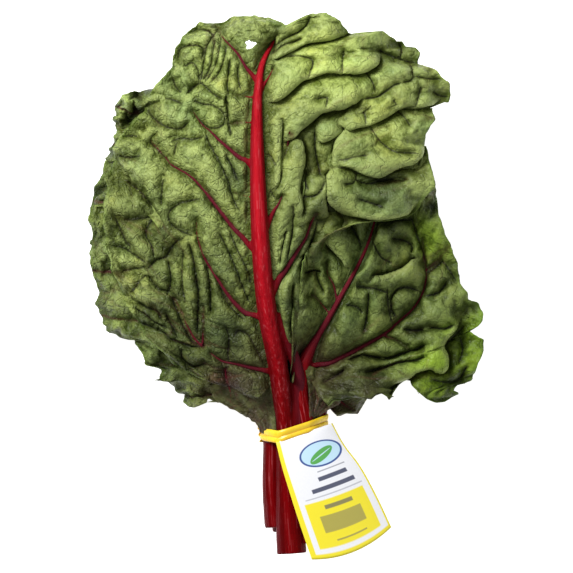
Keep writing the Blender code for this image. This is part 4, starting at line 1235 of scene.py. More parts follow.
def make_wing(name, settings):
    """A narrow, dark, pleated strip of blade beside the ribs just above the tie."""
    ends = np.array(WINGS[name], float)
    places = np.linspace(0, len(ends) - 1, 61)
    inner, outer = (smooth_through(ends[:, k], places) for k in (0, 1))
    across = np.linspace(0, 1, 33)[None, :, None]
    grid = inner[:, None] * (1 - across) + outer[:, None] * across
    along = np.broadcast_to(places[:, None], grid.shape[:2])
    across = np.broadcast_to(across[..., 0], grid.shape[:2])
    pleats = Noise(5, len(name))
    opened = ease(along / 3)
    pleat = pleats(across * 6 + 0.3 * pleats(along, across), along * 0.5)
    grid[..., 2] += (0.6 + 2.2 * opened) * pleat + 0.8 * opened * pleats(across * 9, along * 3 + 7)
    grid[:, -1, :2] += 0.8 * pleats(along[:, :1] * 3, along[:, :1])
    piece = sheet_of(f"{name}_green_blade", grid)
    lines = np.exp(-((cell_gaps(across * 5 + 0.2 * pleat, along * 0.7, 3) / 0.09) ** 2))
    plain = np.ones(along.shape)
    # Painted light on the pleats' crests, painted shade in their hollows, and a little painted shade over the whole
    # strip.
    masks = {"base": np.clip(1.2 - 0.1 * along + 0.15 * pleat, 0, 1), "vein": 0.5 * lines, "twig": lines,
             "crest": 0.4 + 0.5 * pleat, "groove": np.clip(-pleat, 0, 1), "crease": plain, "crease_side": plain,
             "painted_light_and_shade": -0.25 * plain}
    for mask, values in masks.items():
        add_mask(piece, mask, values)
    give_thickness(piece, settings.blade_thickness / MM)
    node = name.replace("wing", "leaf_blade")
    finish_piece(piece, leaf_material("front_leaf", settings), node)


# How much wider a stalk gets at its cut end.
FLARE = {"front_leaf": 0.5, "left_leaf": 0.25, "right_leaf": 0.2}


def stalk_rings(leaf, spine):
    """Cross-sections of stalk and midrib: flat towards the blade, domed and faintly grooved on the leaf's back."""
    lengths = np.concatenate([np.arange(0, spine.base, 3.0), np.linspace(spine.base, spine.total, 90)])
    centres = spine.at(lengths)
    along, across = spine.directions(lengths)
    outwards = unit(np.cross(across, along)) * leaf.back
    width, height = spine.rib_size(lengths)
    width = width * (1 + FLARE.get(leaf.name, 0.0) * ease(1 - lengths / 75))
    angles = np.linspace(0, math.pi, 21)
    flat = np.linspace(-1, 1, 9)[1:-1]
    groove = 0.035 * np.cos(angles * 8)
    rings = []
    for centre, aside, over, wide, tall in zip(centres, across, outwards, width, height):
        side = np.concatenate([np.cos(angles), flat]) * wide / 2
        dome = 0.1 + (np.sin(angles) ** 0.8 + groove * np.sin(angles)) * tall
        up = np.concatenate([dome, np.full(len(flat), 0.1)])
        rings.append(centre + aside * side[:, None] + over * up[:, None])
    return np.array(rings)


def vein_rings(leaf, path, root, end):
    """Cross-sections of a side vein along a path on the blade, with a wide foot where it leaves the midrib."""
    up = np.array([0.0, 0.0, leaf.back])
    share = np.linspace(0, 1, len(path))
    along = unit(np.gradient(path, axis=0))
    across = unit(np.cross(along, up))
    over = np.cross(across, along)
    angles = np.linspace(0, math.tau, 12, endpoint=False)
    wide = (root + (end - root) * share**0.7) / 2
    tall = wide * 0.8
    rings = path[:, None] + across[:, None] * (np.cos(angles) * wide[:, None])[..., None]
    return rings + over[:, None] * (np.sin(angles) * tall[:, None])[..., None]


# Where the right leaf's midrib grows together with the front one.
RIB_JOIN = (
    (5.5, -119, 33), (7.5, -100, 34), (9, -84, 35.5), (9, -70, 39), (7, -58, 43), (3, -46, 48), (-2.5, -34, 53.5),
    (-7.5, -20, 58),
)


def vein_paths(blade):
    """Paths of a blade's side veins, each with its width at the root and at the end."""
    leaf, spine = blade.leaf, blade.spine
    up = np.array([0.0, 0.0, leaf.back])
    if leaf.name in FOLDS:
        if leaf.name == "front_leaf":
            yield 16.0, 6.0, smooth_through(RIB_JOIN, np.linspace(0, len(RIB_JOIN) - 1, 25))
        for root, end, points in FOLDS[leaf.name].veins:
            path = blade.laid(smooth_line(points))
            path[:, 2] += leaf.back * 0.12 * root * np.linspace(1, 0.3, len(path))
            yield root * 0.8, end * 0.7, path
        return
    for which, edges in enumerate((leaf.left, leaf.right)):
        for number in range(1, len(edges)):
            if (which, number) in leaf.plain_edges:
                continue
            row = blade.row(2 * which - 1, number)
            row = row[:int(len(row) * 0.75):2] + up * 0.2
            row = row[np.cumsum(beyond_outline(row[:, 0], row[:, 1], OUTLINE)[0]) == 0]
            inside = spine.at(spine.on_midrib([edges[number][0]])) + up * 2.0
            yield leaf.vein[0] * 1.3, 0.8, np.vstack([inside, row])


PLAIN_MELT = 1.6  # how much coarser the stalks of plain leaves are joined


def make_stalk(name, settings):
    """The stalk with its midrib and side veins, melted together where they meet."""
    blade = blade_of(name)
    leaf, spine = blade.leaf, blade.spine
    piece = tube_of(f"{name}_crimson_stalk", stalk_rings(leaf, spine))
    veins = [tube_of(f"{name}_vein", vein_rings(leaf, path, root, end)) for root, end, path in vein_paths(blade)]
    select(piece, *veins)
    bpy.ops.object.join()
    remesh = piece.modifiers.new("Melt together", "REMESH")
    remesh.mode = "VOXEL"
    remesh.voxel_size = settings.melt_size * (1.0 if name in FOLDS else PLAIN_MELT)
    soften = piece.modifiers.new("Soften", "SMOOTH")
    soften.factor, soften.iterations = 0.5, 4
    apply_modifiers(piece)

    at = np.empty(len(piece.data.vertices) * 3, np.float32)
    piece.data.vertices.foreach_get("co", at)
    at = at.reshape(-1, 3) / MM
    gaps = ((at[:, None, :2] - spine.points[None, ::4, :2]) ** 2).sum(-1)
    nearest = gaps.argmin(1) * 4
    length = spine.lengths[nearest]
    off = np.sqrt(gaps.min(1))
    share = np.clip((length - spine.base) / (spine.total - spine.base), -1, 1)
    add_mask(piece, "up_rib", share)
    dim = ease((share - 0.02) / 0.22) * 0.92 if name == "right_leaf" else 0.0
    add_mask(piece, "off_rib", np.maximum(ease((off - spine.rib_size(length)[0] / 2 + 2) / 12), dim))
    grain = piece.data.attributes.new("grain", "FLOAT_VECTOR", "POINT")
    _, across = spine.directions(spine.lengths)
    sideways = ((at - spine.points[nearest]) * across[nearest]).sum(1)
    width = np.maximum(spine.rib_size(length)[0], 1)
    places = np.column_stack([sideways / width, at[:, 2] / 12, length / 260])
    grain.data.foreach_set("vector", places.astype(np.float32).ravel())
    finish_piece(piece, stalk_material(settings), f"{name}_stalk")


# ---- tie and tag ----


def tie_y(x):
    """Y of the middle of the tie's band, which runs aslant."""
    return TIE_Y + TIE_SLOPE * x + TIE_BEND[1] * np.maximum(TIE_BEND[0] - x, 0)


def bundle_outline():
    """The stalks' outer shape where the tie goes round them, as corners in X and Z."""
    corners = []
    for leaf in LEAVES:
        spine = Spine(leaf)
        x = float(np.interp(TIE_Y, spine.points[:, 1], spine.points[:, 0]))
        reach = leaf.stalk[0] / 2
        band = np.add.outer(tie_y(np.array([x - reach, x, x + reach])), np.array([-0.7, 0.0, 0.7]) * TIE_WIDTH)
        band = band.ravel()
        centres = spine.at(np.interp(band, spine.points[:, 1], spine.lengths))
        for angle in np.linspace(0, math.pi, 8):
            for centre in centres:
                z = centre[2] + leaf.back * (0.8 + math.sin(angle) ** 0.8 * leaf.stalk[1])
                corners.append(Vector((centre[0] + math.cos(angle) * leaf.stalk[0] / 2, z)))
    hull = [corners[k] for k in convex_hull_2d(corners)]
    return [corner for k, corner in enumerate(hull) if (corner - hull[k - 1]).length > 0.7]


CORNER_STEPS = 14  # for each radian that the band turns


def outline_at(distance):
    """The bundle's outline moved out by a distance, with rounded corners."""
    corners = bundle_outline()
    if sum(a.x * b.y - b.x * a.y for a, b in zip(corners, corners[1:] + corners[:1])) < 0:
        corners.reverse()
    loop = []
    for k, corner in enumerate(corners):
        before, after = corners[k - 1], corners[(k + 1) % len(corners)]
        into, out_of = (corner - before).normalized(), (after - corner).normalized()
        start = math.atan2(-into.x, into.y)
        turn = math.atan2(into.cross(out_of), into.dot(out_of))
        steps = max(1, round(CORNER_STEPS * turn))
        for step in range(steps + 1):
            angle = start + turn * step / steps
            loop.append(corner + Vector((math.cos(angle), math.sin(angle))) * distance)
    return [p for k, p in enumerate(loop) if (p - loop[k - 1]).length > 0.05]


TWIST_RING = ((1, 0.4), (0.9, 0.9), (0.3, 1), (-0.3, 1), (-0.9, 0.9), (-1, 0.4),
              (-1, -0.4), (-0.9, -0.9), (-0.3, -1), (0.3, -1), (0.9, -0.9), (1, -0.4))
TWIST_WIDTH, TWIST_THICKNESS = 2.3, 0.55  # halves of them
TWIST_LENGTH = 11.0
TWIST_STEPS = 32


def tie_twist(left):
    """The twisted end of the tie, beside the band's left end: one full turn along its length."""
    rings = []
    for step in range(TWIST_STEPS + 1):
        share = step / TWIST_STEPS
        angle = math.tau * share
        centre = np.array([left.x - 0.4 + 1.5 * share, tie_y(left.x) + 4.0 - TWIST_LENGTH * share,
                           left.y + 0.3 - 1.0 * share])
        wide = np.array([math.cos(angle), 0, math.sin(angle)]) * TWIST_WIDTH
        thin = np.array([-math.sin(angle), 0, math.cos(angle)]) * TWIST_THICKNESS
        rings.append([centre + wide * c + thin * s for c, s in TWIST_RING])
    return tube_of("yellow_tie_twist", rings)


# The band's cross-section: (across the band, out from the stalks), in millimetres.
TIE_SECTION = ((-4.7, 0.0), (-4.9, 0.5), (-4.3, 0.95), (-2.8, 1.2), (-1.3, 1.0), (-0.6, 0.35), (0.1, 0.45),
               (1.2, 1.05), (3.0, 1.3), (4.4, 1.0), (4.9, 0.5), (4.6, 0.0))


def make_tie(settings):
    """A soft plastic band of two lapped layers round the stalks, with its ends twisted at the left."""
    loop = outline_at(TIE_GAP)
    rings = []
    for k, point in enumerate(loop):
        ahead = (loop[(k + 1) % len(loop)] - loop[k - 1]).normalized()
        away = Vector((ahead.y, -ahead.x))
        ring = []
        for across, out in TIE_SECTION:
            at = point + away * out
            ring.append((at.x, tie_y(at.x) + across * (0.94 + 0.06 * math.sin(k * 0.7)), max(at.y, 0.0)))
        rings.append(ring)
    rings.append(rings[0])
    piece = sheet_of("yellow_tie_band", np.array([ring + ring[:1] for ring in rings]))
    band = np.array([across / 5 for across, _ in TIE_SECTION + TIE_SECTION[:1]])
    add_mask(piece, "band", np.broadcast_to(band, (len(rings), len(band))))
    edit(piece, lambda: bpy.ops.mesh.remove_doubles(threshold=1e-6),
         lambda: bpy.ops.mesh.normals_make_consistent(inside=False))
    select(piece, tie_twist(min(loop, key=lambda p: p.x)))
    bpy.ops.object.join()
    finish_piece(piece, tie_material(settings), "twist_tie")


# The tag's edges in plan, from the tie down.
TAG_LEFT = ((-8, -116.6), (-3.5, -135), (2.5, -155), (9.5, -177), (19, -205))
TAG_RIGHT = ((34.5, -103), (43, -118.5), (56, -136), (68, -158), (79, -181.5))
TAG_ROUND = 6.0  # how far the lower edge is rounded
TAG_TOP = 42.3  # height of the top edge
TAG_CURLS = (9.0, 13.0)  # how far the right edge curls down, at the top and at the lower edge
TAG_THICKNESS = 0.45
TAG_STEPS = 60


def tag_point(across, down):
    """A point of the tag: across from its left to its right edge, down from the tie to its lower edge."""
    left, right = (Vector((*smooth_through(edge, np.array([4.0 * down]))[0], 0)) for edge in (TAG_LEFT, TAG_RIGHT))
    point = left.lerp(right, across) + Vector((0.35, -1, 0)) * TAG_ROUND * 4 * across * (1 - across) * down**3
    height = TAG_TOP - TAG_CURLS[0] * across**4 * (1 - down) - TAG_CURLS[1] * across**2 * down
    point.z = height + 1.5 * math.sin(math.pi * down)
    point.z -= 1.3 * math.exp(-down / 0.03)
    return point


def make_tag(settings):
    """The card tag: a thin curled sheet with its own across and down places for its print."""
    places = np.linspace(0, 1, TAG_STEPS + 1)
    grid = np.array([[tag_point(across, down) for across in places] for down in places])
    piece = sheet_of("card_tag", grid)
    add_mask(piece, "across", np.broadcast_to(places[None, :], grid.shape[:2]))
    add_mask(piece, "down", np.broadcast_to(places[:, None], grid.shape[:2]))
    give_thickness(piece, TAG_THICKNESS)
    finish_piece(piece, tag_material(settings), "tag")


# ---- materials ----


class Shading:
    """Adds and links the nodes of one material or group."""

    def __init__(self, tree):
        self.tree = tree

    def node(self, kind, **settings):
        made = self.tree.nodes.new(kind)
        for name, value in settings.items():
            setattr(made, name, value)
        return made

    def put(self, source, socket):
        if isinstance(source, bpy.types.NodeSocket):
            self.tree.links.new(source, socket)
        elif source is not None:
            socket.default_value = source

    def put_colour(self, source, socket):
        self.put(source if isinstance(source, bpy.types.NodeSocket) else (*tuple(source)[:3], 1.0), socket)

    def math(self, operation, a, b=None):
        made = self.node("ShaderNodeMath", operation=operation)
        self.put(a, made.inputs[0])
        self.put(b, made.inputs[1])
        return made.outputs[0]

    def plus(self, a, b):
        return self.math("ADD", a, b)

    def minus(self, a, b):
        return self.math("SUBTRACT", a, b)

    def times(self, a, b):
        return self.math("MULTIPLY", a, b)

    def swing(self, noise, size):
        """Noise about 0, spread to a size."""
        return self.times(self.minus(noise, 0.5), size)

    def mix(self, share, a, b, blend="MIX"):
        made = self.node("ShaderNodeMix", data_type="RGBA", blend_type=blend)
        self.put(share, made.inputs[0])
        self.put_colour(a, made.inputs[6])
        self.put_colour(b, made.inputs[7])
        return made.outputs[2]

    def tint(self, share, colour, factors):
        """A colour multiplied by factors where the share is 1."""
        return self.mix(share, colour, self.mix(1.0, colour, factors, "MULTIPLY"))

    def mask(self, name):
        return self.node("ShaderNodeAttribute", attribute_name=name).outputs["Fac"]

    def noise(self, where, scale, detail=3.0, rough=0.5):
        made = self.node("ShaderNodeTexNoise")
        self.put(where, made.inputs["Vector"])
        for name, number in (("Scale", scale), ("Detail", detail), ("Roughness", rough)):
            made.inputs[name].default_value = number
        return made.outputs["Fac"]

    def spread(self, value, low, high, to_low=0.0, to_high=1.0):
        made = self.node("ShaderNodeMapRange", interpolation_type="SMOOTHSTEP")
        self.put(value, made.inputs["Value"])
        for name, number in (("From Min", low), ("From Max", high), ("To Min", to_low), ("To Max", to_high)):
            made.inputs[name].default_value = number
        return made.outputs["Result"]

    def within(self, value, low, high, soft=0.006):
        """1 between two values, 0 outside."""
        return self.times(self.spread(value, low - soft, low + soft),
                          self.spread(value, high - soft, high + soft, 1.0, 0.0))

    def bump(self, height, strength, distance, after=None):
        made = self.node("ShaderNodeBump")
        made.inputs["Strength"].default_value = strength
        made.inputs["Distance"].default_value = distance
        self.put(height, made.inputs["Height"])
        self.put(after, made.inputs["Normal"])
        return made.outputs["Normal"]


def new_material(name):
    material = bpy.data.materials.new(name)
    material.use_nodes = True
    shading = Shading(material.node_tree)
    return material, shading, material.node_tree.nodes["Principled BSDF"]


def group(name, inputs, outputs, build):
    """A node group made once, with named inputs and outputs."""
    made = bpy.data.node_groups.get(name)
    if made is None:
        made = bpy.data.node_groups.new(name, "ShaderNodeTree")
        for way, sockets in (("INPUT", inputs), ("OUTPUT", outputs)):
            for label, kind in sockets:
                made.interface.new_socket(label, in_out=way, socket_type=kind)
        shading = Shading(made)
        entry, leave = shading.node("NodeGroupInput"), shading.node("NodeGroupOutput")
        build(shading, entry.outputs, leave.inputs)
    return made


def vein_net():
    """Fine net of veins over a blade: how near a place is to one, and the height of the cushions between them."""

    def build(shading, given, result):
        warp = shading.node("ShaderNodeTexNoise")
        shading.put(given["Vector"], warp.inputs["Vector"])
        warp.inputs["Scale"].default_value = 60.0
        moved = shading.node("ShaderNodeVectorMath", operation="MULTIPLY_ADD")
        shading.put(warp.outputs["Color"], moved.inputs[0])
        moved.inputs[1].default_value = (0.006, 0.006, 0.006)
        shading.put(given["Vector"], moved.inputs[2])
        total = None
        for scale, share in ((150.0, 1.0), (380.0, 0.5)):
            cells = shading.node("ShaderNodeTexVoronoi", feature="DISTANCE_TO_EDGE")
            shading.put(moved.outputs[0], cells.inputs["Vector"])
            cells.inputs["Scale"].default_value = scale
            near = shading.spread(cells.outputs["Distance"], 0.0, 0.16, share, 0.0)
            total = near if total is None else shading.math("MAXIMUM", total, near)
        shading.put(total, result["Near"])
        shading.put(shading.minus(1.0, total), result["Cushion"])

    return group("Vein net", [("Vector", "NodeSocketVector")],
                 [("Near", "NodeSocketFloat"), ("Cushion", "NodeSocketFloat")], build)


def object_place(shading):
    return shading.node("ShaderNodeTexCoord").outputs["Object"]


def leaf_material(name, settings):
    """Leaf green: painted light on its crests, painted shade in its creases, young green with a painted highlight at
    its margins, purple near the stalk, with red veins.
    """
    material = bpy.data.materials.get(f"{name} green")
    if material:
        return material
    material, s, shader = new_material(f"{name} green")
    light = SKINS[name].light
    place = object_place(s)
    net = s.node("ShaderNodeGroup", node_tree=vein_net())
    s.put(place, net.inputs["Vector"])
    # Greens for the painted shade of creases and the painted light of crests, between the darkest and the lightest
    # leaves.
    dark = tuple(a + (b - a) * light for a, b in zip(settings.shaded_crease_dark_leaf, settings.shaded_crease_light_leaf))
    pale = tuple(a + (b - a) * light for a, b in zip(settings.lit_crest_dark_leaf, settings.lit_crest_light_leaf))
    broad = s.noise(place, 28.0, 4.0, 0.6)
    fine = s.noise(place, 170.0, 3.0, 0.6)
    mottle = s.noise(place, 95.0, 3.0, 0.7)
    # The crest mask, with noise for mottling, mixes from the painted shade to the painted light.
    crest = s.mask("crest")
    for noise, size in ((broad, 0.5), (mottle, 1.2), (fine, 1.7)):
        crest = s.plus(crest, s.swing(noise, size))
    colour = s.mix(s.spread(crest, 0.15, 0.95), dark, pale)
    if name in FOLDS:
        # Painted shade along the creases and the feet of rolls.
        line = s.math("ABSOLUTE", s.mask("crease_side"))
        line = s.times(s.spread(line, 0.07, 0.26, 1.0, 0.0), s.spread(s.mask("crease"), 0.3, 0.5, 1.0, 0.0))
        colour = s.tint(s.times(line, 0.8), colour, (0.22, 0.2, 0.17))
    # Spots of painted shade and painted light, then painted shade in hollows, yellower and bluer patches, the net of
    # veins and painted shade in wrinkles.
    colour = s.tint(s.spread(s.mask("painted_light_and_shade"), 0.0, -1.0), colour, (0.3, 0.32, 0.3))
    colour = s.tint(s.spread(s.mask("painted_light_and_shade"), 0.0, 1.0), colour, (1.7, 1.7, 1.5))
    colour = s.tint(s.times(s.mask("groove"), 0.25), colour, (0.16, 0.18, 0.12))
    patches = s.noise(place, 24.0, 4.0, 0.65)
    colour = s.tint(s.spread(patches, 0.5, 0.75, 0.0, 0.5), colour, (1.25, 1.05, 0.55))
    colour = s.tint(s.spread(patches, 0.5, 0.28, 0.0, 0.5), colour, (0.72, 0.9, 1.1))
    colour = s.tint(s.times(net.outputs["Near"], 0.13), colour, (0.4, 0.42, 0.4))
    wrinkle = s.math("ABSOLUTE", s.minus(s.noise(place, 48.0, 2.0, 0.5), 0.5))
    wrinkle = s.spread(wrinkle, 0.0, 0.016, 1.0, 0.0)
    # Painted shade in the fine wrinkles, more on the blade's more wrinkled left side.
    painted_wrinkle_shade = s.times(wrinkle, s.spread(s.mask("worn"), 0.0, 1.0, 0.06, 0.22))
    colour = s.tint(painted_wrinkle_shade, colour, (0.3, 0.32, 0.28))
    # Young green with a painted highlight at the margins, fresh green spots, a painted highlight on the rims of rolls,
    # then the purple base and the veins.
    colour = s.mix(s.times(s.mask("edge"), 0.2), colour, settings.margin_green_and_highlight)
    young = s.mix(1.0, colour, (0.95, 1.15, 0.35), "MULTIPLY")
    colour = s.mix(s.times(s.mask("fresh"), 0.8), colour, young)
    colour = s.mix(s.times(s.mask("lit"), 0.45), colour, settings.fold_rim_highlight)
    base = s.times(s.mask("base"), s.spread(broad, 0.3, 0.6, 0.6, 1.0))
    colour = s.mix(s.times(base, 0.85), colour, settings.leaf_base)
    hidden = s.spread(broad, 0.42, 0.62, 0.1, 0.7)
    colour = s.mix(s.times(s.mask("twig"), s.times(hidden, 0.5)), colour, settings.twig)
    colour = s.mix(s.times(s.mask("vein"), hidden), colour, settings.vein)
    s.put(colour, shader.inputs["Base Color"])
    s.put(s.spread(fine, 0.3, 0.7, 0.36, 0.5), shader.inputs["Roughness"])
    shader.inputs["Specular IOR Level"].default_value = 0.2
    # Cushions and wrinkles over a coarser crumple.
    height = s.times(net.outputs["Cushion"], s.spread(s.mask("worn"), 0.0, 1.0, 0.15, 0.45))
    height = s.plus(height, s.times(fine, 0.5))
    height = s.minus(height, s.times(wrinkle, 0.3))
    height = s.plus(height, s.times(s.noise(place, 420.0, 2.0, 0.5), 0.5))
    crumple = s.plus(s.noise(place, 75.0, 2.0, 0.5), s.times(s.noise(place, 200.0, 2.0, 0.5), 0.35))
    crumple = s.times(crumple, s.spread(s.mask("worn"), 0.0, 1.0, 0.5, 1.0))
    s.put(s.bump(height, 1.0, 0.0016, s.bump(crumple, 0.8, 0.006)), shader.inputs["Normal"])
    return material


def stalk_material(settings):
    """Crimson, deep on the stalk and pinker up the midrib, with fine pale fibres along its length and painted shade on
    its flanks.
    """
    material = bpy.data.materials.get("crimson stalk skin")
    if material:
        return material
    material, s, shader = new_material("crimson stalk skin")
    grain = s.node("ShaderNodeAttribute", attribute_name="grain").outputs["Vector"]
    fibres = s.noise(grain, 9.0, 5.0, 0.65)
    patches = s.noise(object_place(s), 35.0, 3.0, 0.5)
    up = s.spread(s.plus(s.mask("up_rib"), s.swing(patches, 0.4)), -0.15, 0.5)
    colour = s.mix(up, settings.stalk_deep, settings.stalk_bright)
    colour = s.mix(s.spread(fibres, 0.52, 0.72, 0.0, 0.3), colour, settings.stalk_fibre)
    colour = s.tint(s.spread(fibres, 0.48, 0.3, 0.0, 0.8), colour, (0.55, 0.4, 0.5))
    # Painted shade down both flanks of the rounded stalk and midrib.
    across = s.node("ShaderNodeSeparateXYZ")
    s.put(grain, across.inputs[0])
    flank_shade = s.spread(s.math("ABSOLUTE", across.outputs["X"]), 0.12, 0.42, 0.0, 0.8)
    colour = s.tint(flank_shade, colour, (0.42, 0.3, 0.4))
    colour = s.mix(s.times(s.mask("off_rib"), 0.95), colour, settings.vein)
    s.put(colour, shader.inputs["Base Color"])
    s.put(s.spread(patches, 0.3, 0.7, 0.28, 0.42), shader.inputs["Roughness"])
    shader.inputs["Specular IOR Level"].default_value = 0.05
    s.put(s.bump(fibres, 0.7, 0.0012), shader.inputs["Normal"])
    return material


def tie_material(settings):
    """Glossy yellow plastic with faint stretch marks, and painted shade in the fold down the band's middle and along
    its lower edge.
    """
    material, s, shader = new_material("yellow tie plastic")
    place = object_place(s)
    marks = s.noise(place, 240.0, 3.0, 0.6)
    worn = s.noise(place, 60.0, 2.0, 0.5)
    colour = s.mix(s.spread(worn, 0.3, 0.7), settings.tie_dark, settings.tie_light)
    band = s.mask("band")
    # Painted shade in the fold down the band's middle and along its lower edge.
    fold_shade = s.math("MAXIMUM", s.spread(s.math("ABSOLUTE", s.plus(band, 0.06)), 0.0, 0.16, 1.0, 0.0),
                  s.spread(band, -0.65, -0.95))
    colour = s.mix(s.times(fold_shade, 0.7), colour, settings.tie_fold_shade)
    s.put(colour, shader.inputs["Base Color"])
    s.put(s.spread(marks, 0.3, 0.7, 0.22, 0.4), shader.inputs["Roughness"])
    s.put(s.bump(marks, 0.3, 0.0004), shader.inputs["Normal"])
    return material


# Printed rules as (from, to) down the tag, (from, to) across it, and how strong the ink is.
RULES = ((0.4, 0.41, 0.45, 0.85, 0.6), (0.45, 0.485, 0.42, 0.82, 0.95), (0.53, 0.565, 0.28, 0.86, 0.95),
         (0.595, 0.605, 0.16, 0.92, 0.4), (0.67, 0.7, 0.36, 0.72, 0.75), (0.74, 0.85, 0.26, 0.78, 0.55),
         (0.9, 0.91, 0.36, 0.74, 0.6))


def tag_material(settings):
    """White card with a yellow border and panel, and a plain printed badge and rules."""
    material, s, shader = new_material("printed tag card")
    across, down = s.mask("across"), s.mask("down")
    specks = s.noise(object_place(s), 900.0, 2.0, 0.5)
    shaded = tuple(0.97 * value for value in settings.tag_white)
    colour = s.mix(s.spread(specks, 0.3, 0.7), shaded, settings.tag_white)
    inner = s.times(s.within(across, 0.065, 0.978), s.within(down, -1.0, 0.97))
    colour = s.mix(inner, settings.tag_yellow, colour)
    panel = s.times(s.within(across, 0.13, 0.9), s.within(down, 0.63, 0.94))
    colour = s.mix(panel, colour, settings.tag_yellow)

    def oval(x, y, wide, tall, turn=0.0):
        dx, dy = s.minus(across, x), s.minus(down, y)
        dy = s.plus(dy, s.times(dx, turn))
        dx, dy = s.math("DIVIDE", dx, wide), s.math("DIVIDE", dy, tall)
        return s.spread(s.plus(s.times(dx, dx), s.times(dy, dy)), 0.95, 1.05, 1.0, 0.0)

    # A plain badge with a leaf.
    for shape, ink in (((0.62, 0.25, 0.33, 0.125), settings.tag_blue), ((0.62, 0.25, 0.3, 0.11), settings.tag_sky),
                       ((0.62, 0.27, 0.2, 0.05, 0.2), settings.tag_green),
                       ((0.62, 0.27, 0.17, 0.005, 0.2), settings.tag_sky)):
        colour = s.mix(oval(*shape), colour, ink)
    printed = None
    for low, high, start, stop, share in RULES:
        rule = s.times(s.times(s.within(down, low, high, 0.003), s.within(across, start, stop, 0.005)), share)
        printed = rule if printed is None else s.math("MAXIMUM", printed, rule)
    colour = s.mix(printed, colour, settings.tag_ink)
    s.put(colour, shader.inputs["Base Color"])
    s.put(s.spread(specks, 0.3, 0.7, 0.3, 0.4), shader.inputs["Roughness"])
    s.put(s.bump(specks, 0.15, 0.0002), shader.inputs["Normal"])
    return material


# ---- stage ----


SENSOR_WIDTH = 36.0
VIEW_LEVEL = 0.045  # height, in metres, at which the camera sees the view's width


def make_stage(settings):
    """A wide pale floor, two soft lights and a pale sky, and the camera straight above."""
    select()
    bpy.ops.mesh.primitive_plane_add(size=6.0)
    floor = bpy.context.object
    floor.name = floor.data.name = "floor"
    floor.data.transform(floor.matrix_world)
    material, _, shader = new_material("pale floor")
    shader.inputs["Base Color"].default_value = (*settings.floor, 1.0)
    shader.inputs["Roughness"].default_value = 0.9
    shader.inputs["Emission Color"].default_value = (1.0, 1.0, 1.0, 1.0)
    shader.inputs["Emission Strength"].default_value = settings.floor_glow
    floor.data.materials.append(material)
    floor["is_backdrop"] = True

    for name, place, power, size in (("key light", (-0.95, 0.95, 1.25), settings.key, 0.8),
                                     ("fill light", (1.1, -0.7, 1.3), settings.fill, 1.6)):
        bpy.ops.object.light_add(type="AREA", location=place)
        light = bpy.context.object
        light.name = name
        light.data.energy, light.data.size = power, size
        light.rotation_euler = (Vector((0, 0, 0)) - Vector(place)).to_track_quat("-Z", "Y").to_euler()

    world = bpy.data.worlds.new("studio")
    world.use_nodes = True
    world.node_tree.nodes["Background"].inputs["Color"].default_value = (1.0, 1.0, 1.0, 1.0)
    world.node_tree.nodes["Background"].inputs["Strength"].default_value = settings.sky
    bpy.context.scene.world = world
    bpy.context.scene.view_settings.view_transform = "Standard"

    bpy.ops.object.camera_add(location=(0.0, 0.0, settings.camera_height), rotation=(0.0, 0.0, 0.0))
    camera = bpy.context.object
    camera.data.sensor_width = SENSOR_WIDTH
    camera.data.lens = SENSOR_WIDTH * (settings.camera_height - VIEW_LEVEL) / settings.view_width
    bpy.context.scene.camera = camera


# ---- the add-on ----


def colour_prop(name, description, value):
    return bpy.props.FloatVectorProperty(name=name, description=description, default=value, size=3, subtype="COLOR",
                                         min=0.0, max=1.0)


def number_prop(name, description, value, **limits):
    return bpy.props.FloatProperty(name=name, description=description, default=value, **limits)


class ChardLeafSettings(bpy.types.PropertyGroup):
    """Sizes and colours of the leaves."""

    blade_thickness: number_prop("Blade thickness", "Thickness of the leaf blades", 0.0005, min=0.0002, max=0.002,
                                 unit="LENGTH", precision=4)
    melt_size: number_prop("Melt size", "Finest step of the joined stalk and veins", 0.0007, min=0.0003, max=0.003,
                           unit="LENGTH", precision=4)
    # Crest colours are painted light and crease colours painted shade, for the lightest and the darkest leaves.
    lit_crest_light_leaf: colour_prop("Light leaf crest", "Crests of the lightest leaves", (0.31, 0.38, 0.11))
    lit_crest_dark_leaf: colour_prop("Dark leaf crest", "Crests of the darkest leaves", (0.085, 0.125, 0.022))
    shaded_crease_light_leaf: colour_prop("Light leaf crease", "Creases of the lightest leaves", (0.095, 0.125, 0.021))
    shaded_crease_dark_leaf: colour_prop("Dark leaf crease", "Creases of the darkest leaves", (0.022, 0.038, 0.007))
    # Young green at the margins, with a painted highlight on them.
    margin_green_and_highlight: colour_prop("Leaf edge", "Young green at the margins", (0.22, 0.36, 0.05))
    # Painted highlight on the rims of folds.
    fold_rim_highlight: colour_prop("Fold rim", "Light rims of folds", (0.4, 0.47, 0.17))
    leaf_base: colour_prop("Leaf base", "Purple-green near the stalk", (0.042, 0.02, 0.016))
    vein: colour_prop("Side vein", "Side veins", (0.1, 0.01, 0.018))
    twig: colour_prop("Fine vein", "Fine veins between the side veins", (0.09, 0.02, 0.02))
    stalk_deep: colour_prop("Stalk", "Stalks below the blades", (0.17, 0.0, 0.001))
    stalk_bright: colour_prop("Midrib", "Midribs up the blades", (0.43, 0.006, 0.014))
    stalk_fibre: colour_prop("Fibres", "Pale fibres along stalk and midrib", (0.75, 0.2, 0.22))


class ChardTieSettings(bpy.types.PropertyGroup):
    """Colours of the tie."""

    tie_light: colour_prop("Tie", "Tie in the light", (0.95, 0.68, 0.02))
    tie_dark: colour_prop("Tie shade", "Tie where it is worn", (0.85, 0.56, 0.02))
    # Painted shade in the tie's folds.
    tie_fold_shade: colour_prop("Tie fold", "Tie in its folds", (0.6, 0.25, 0.01))


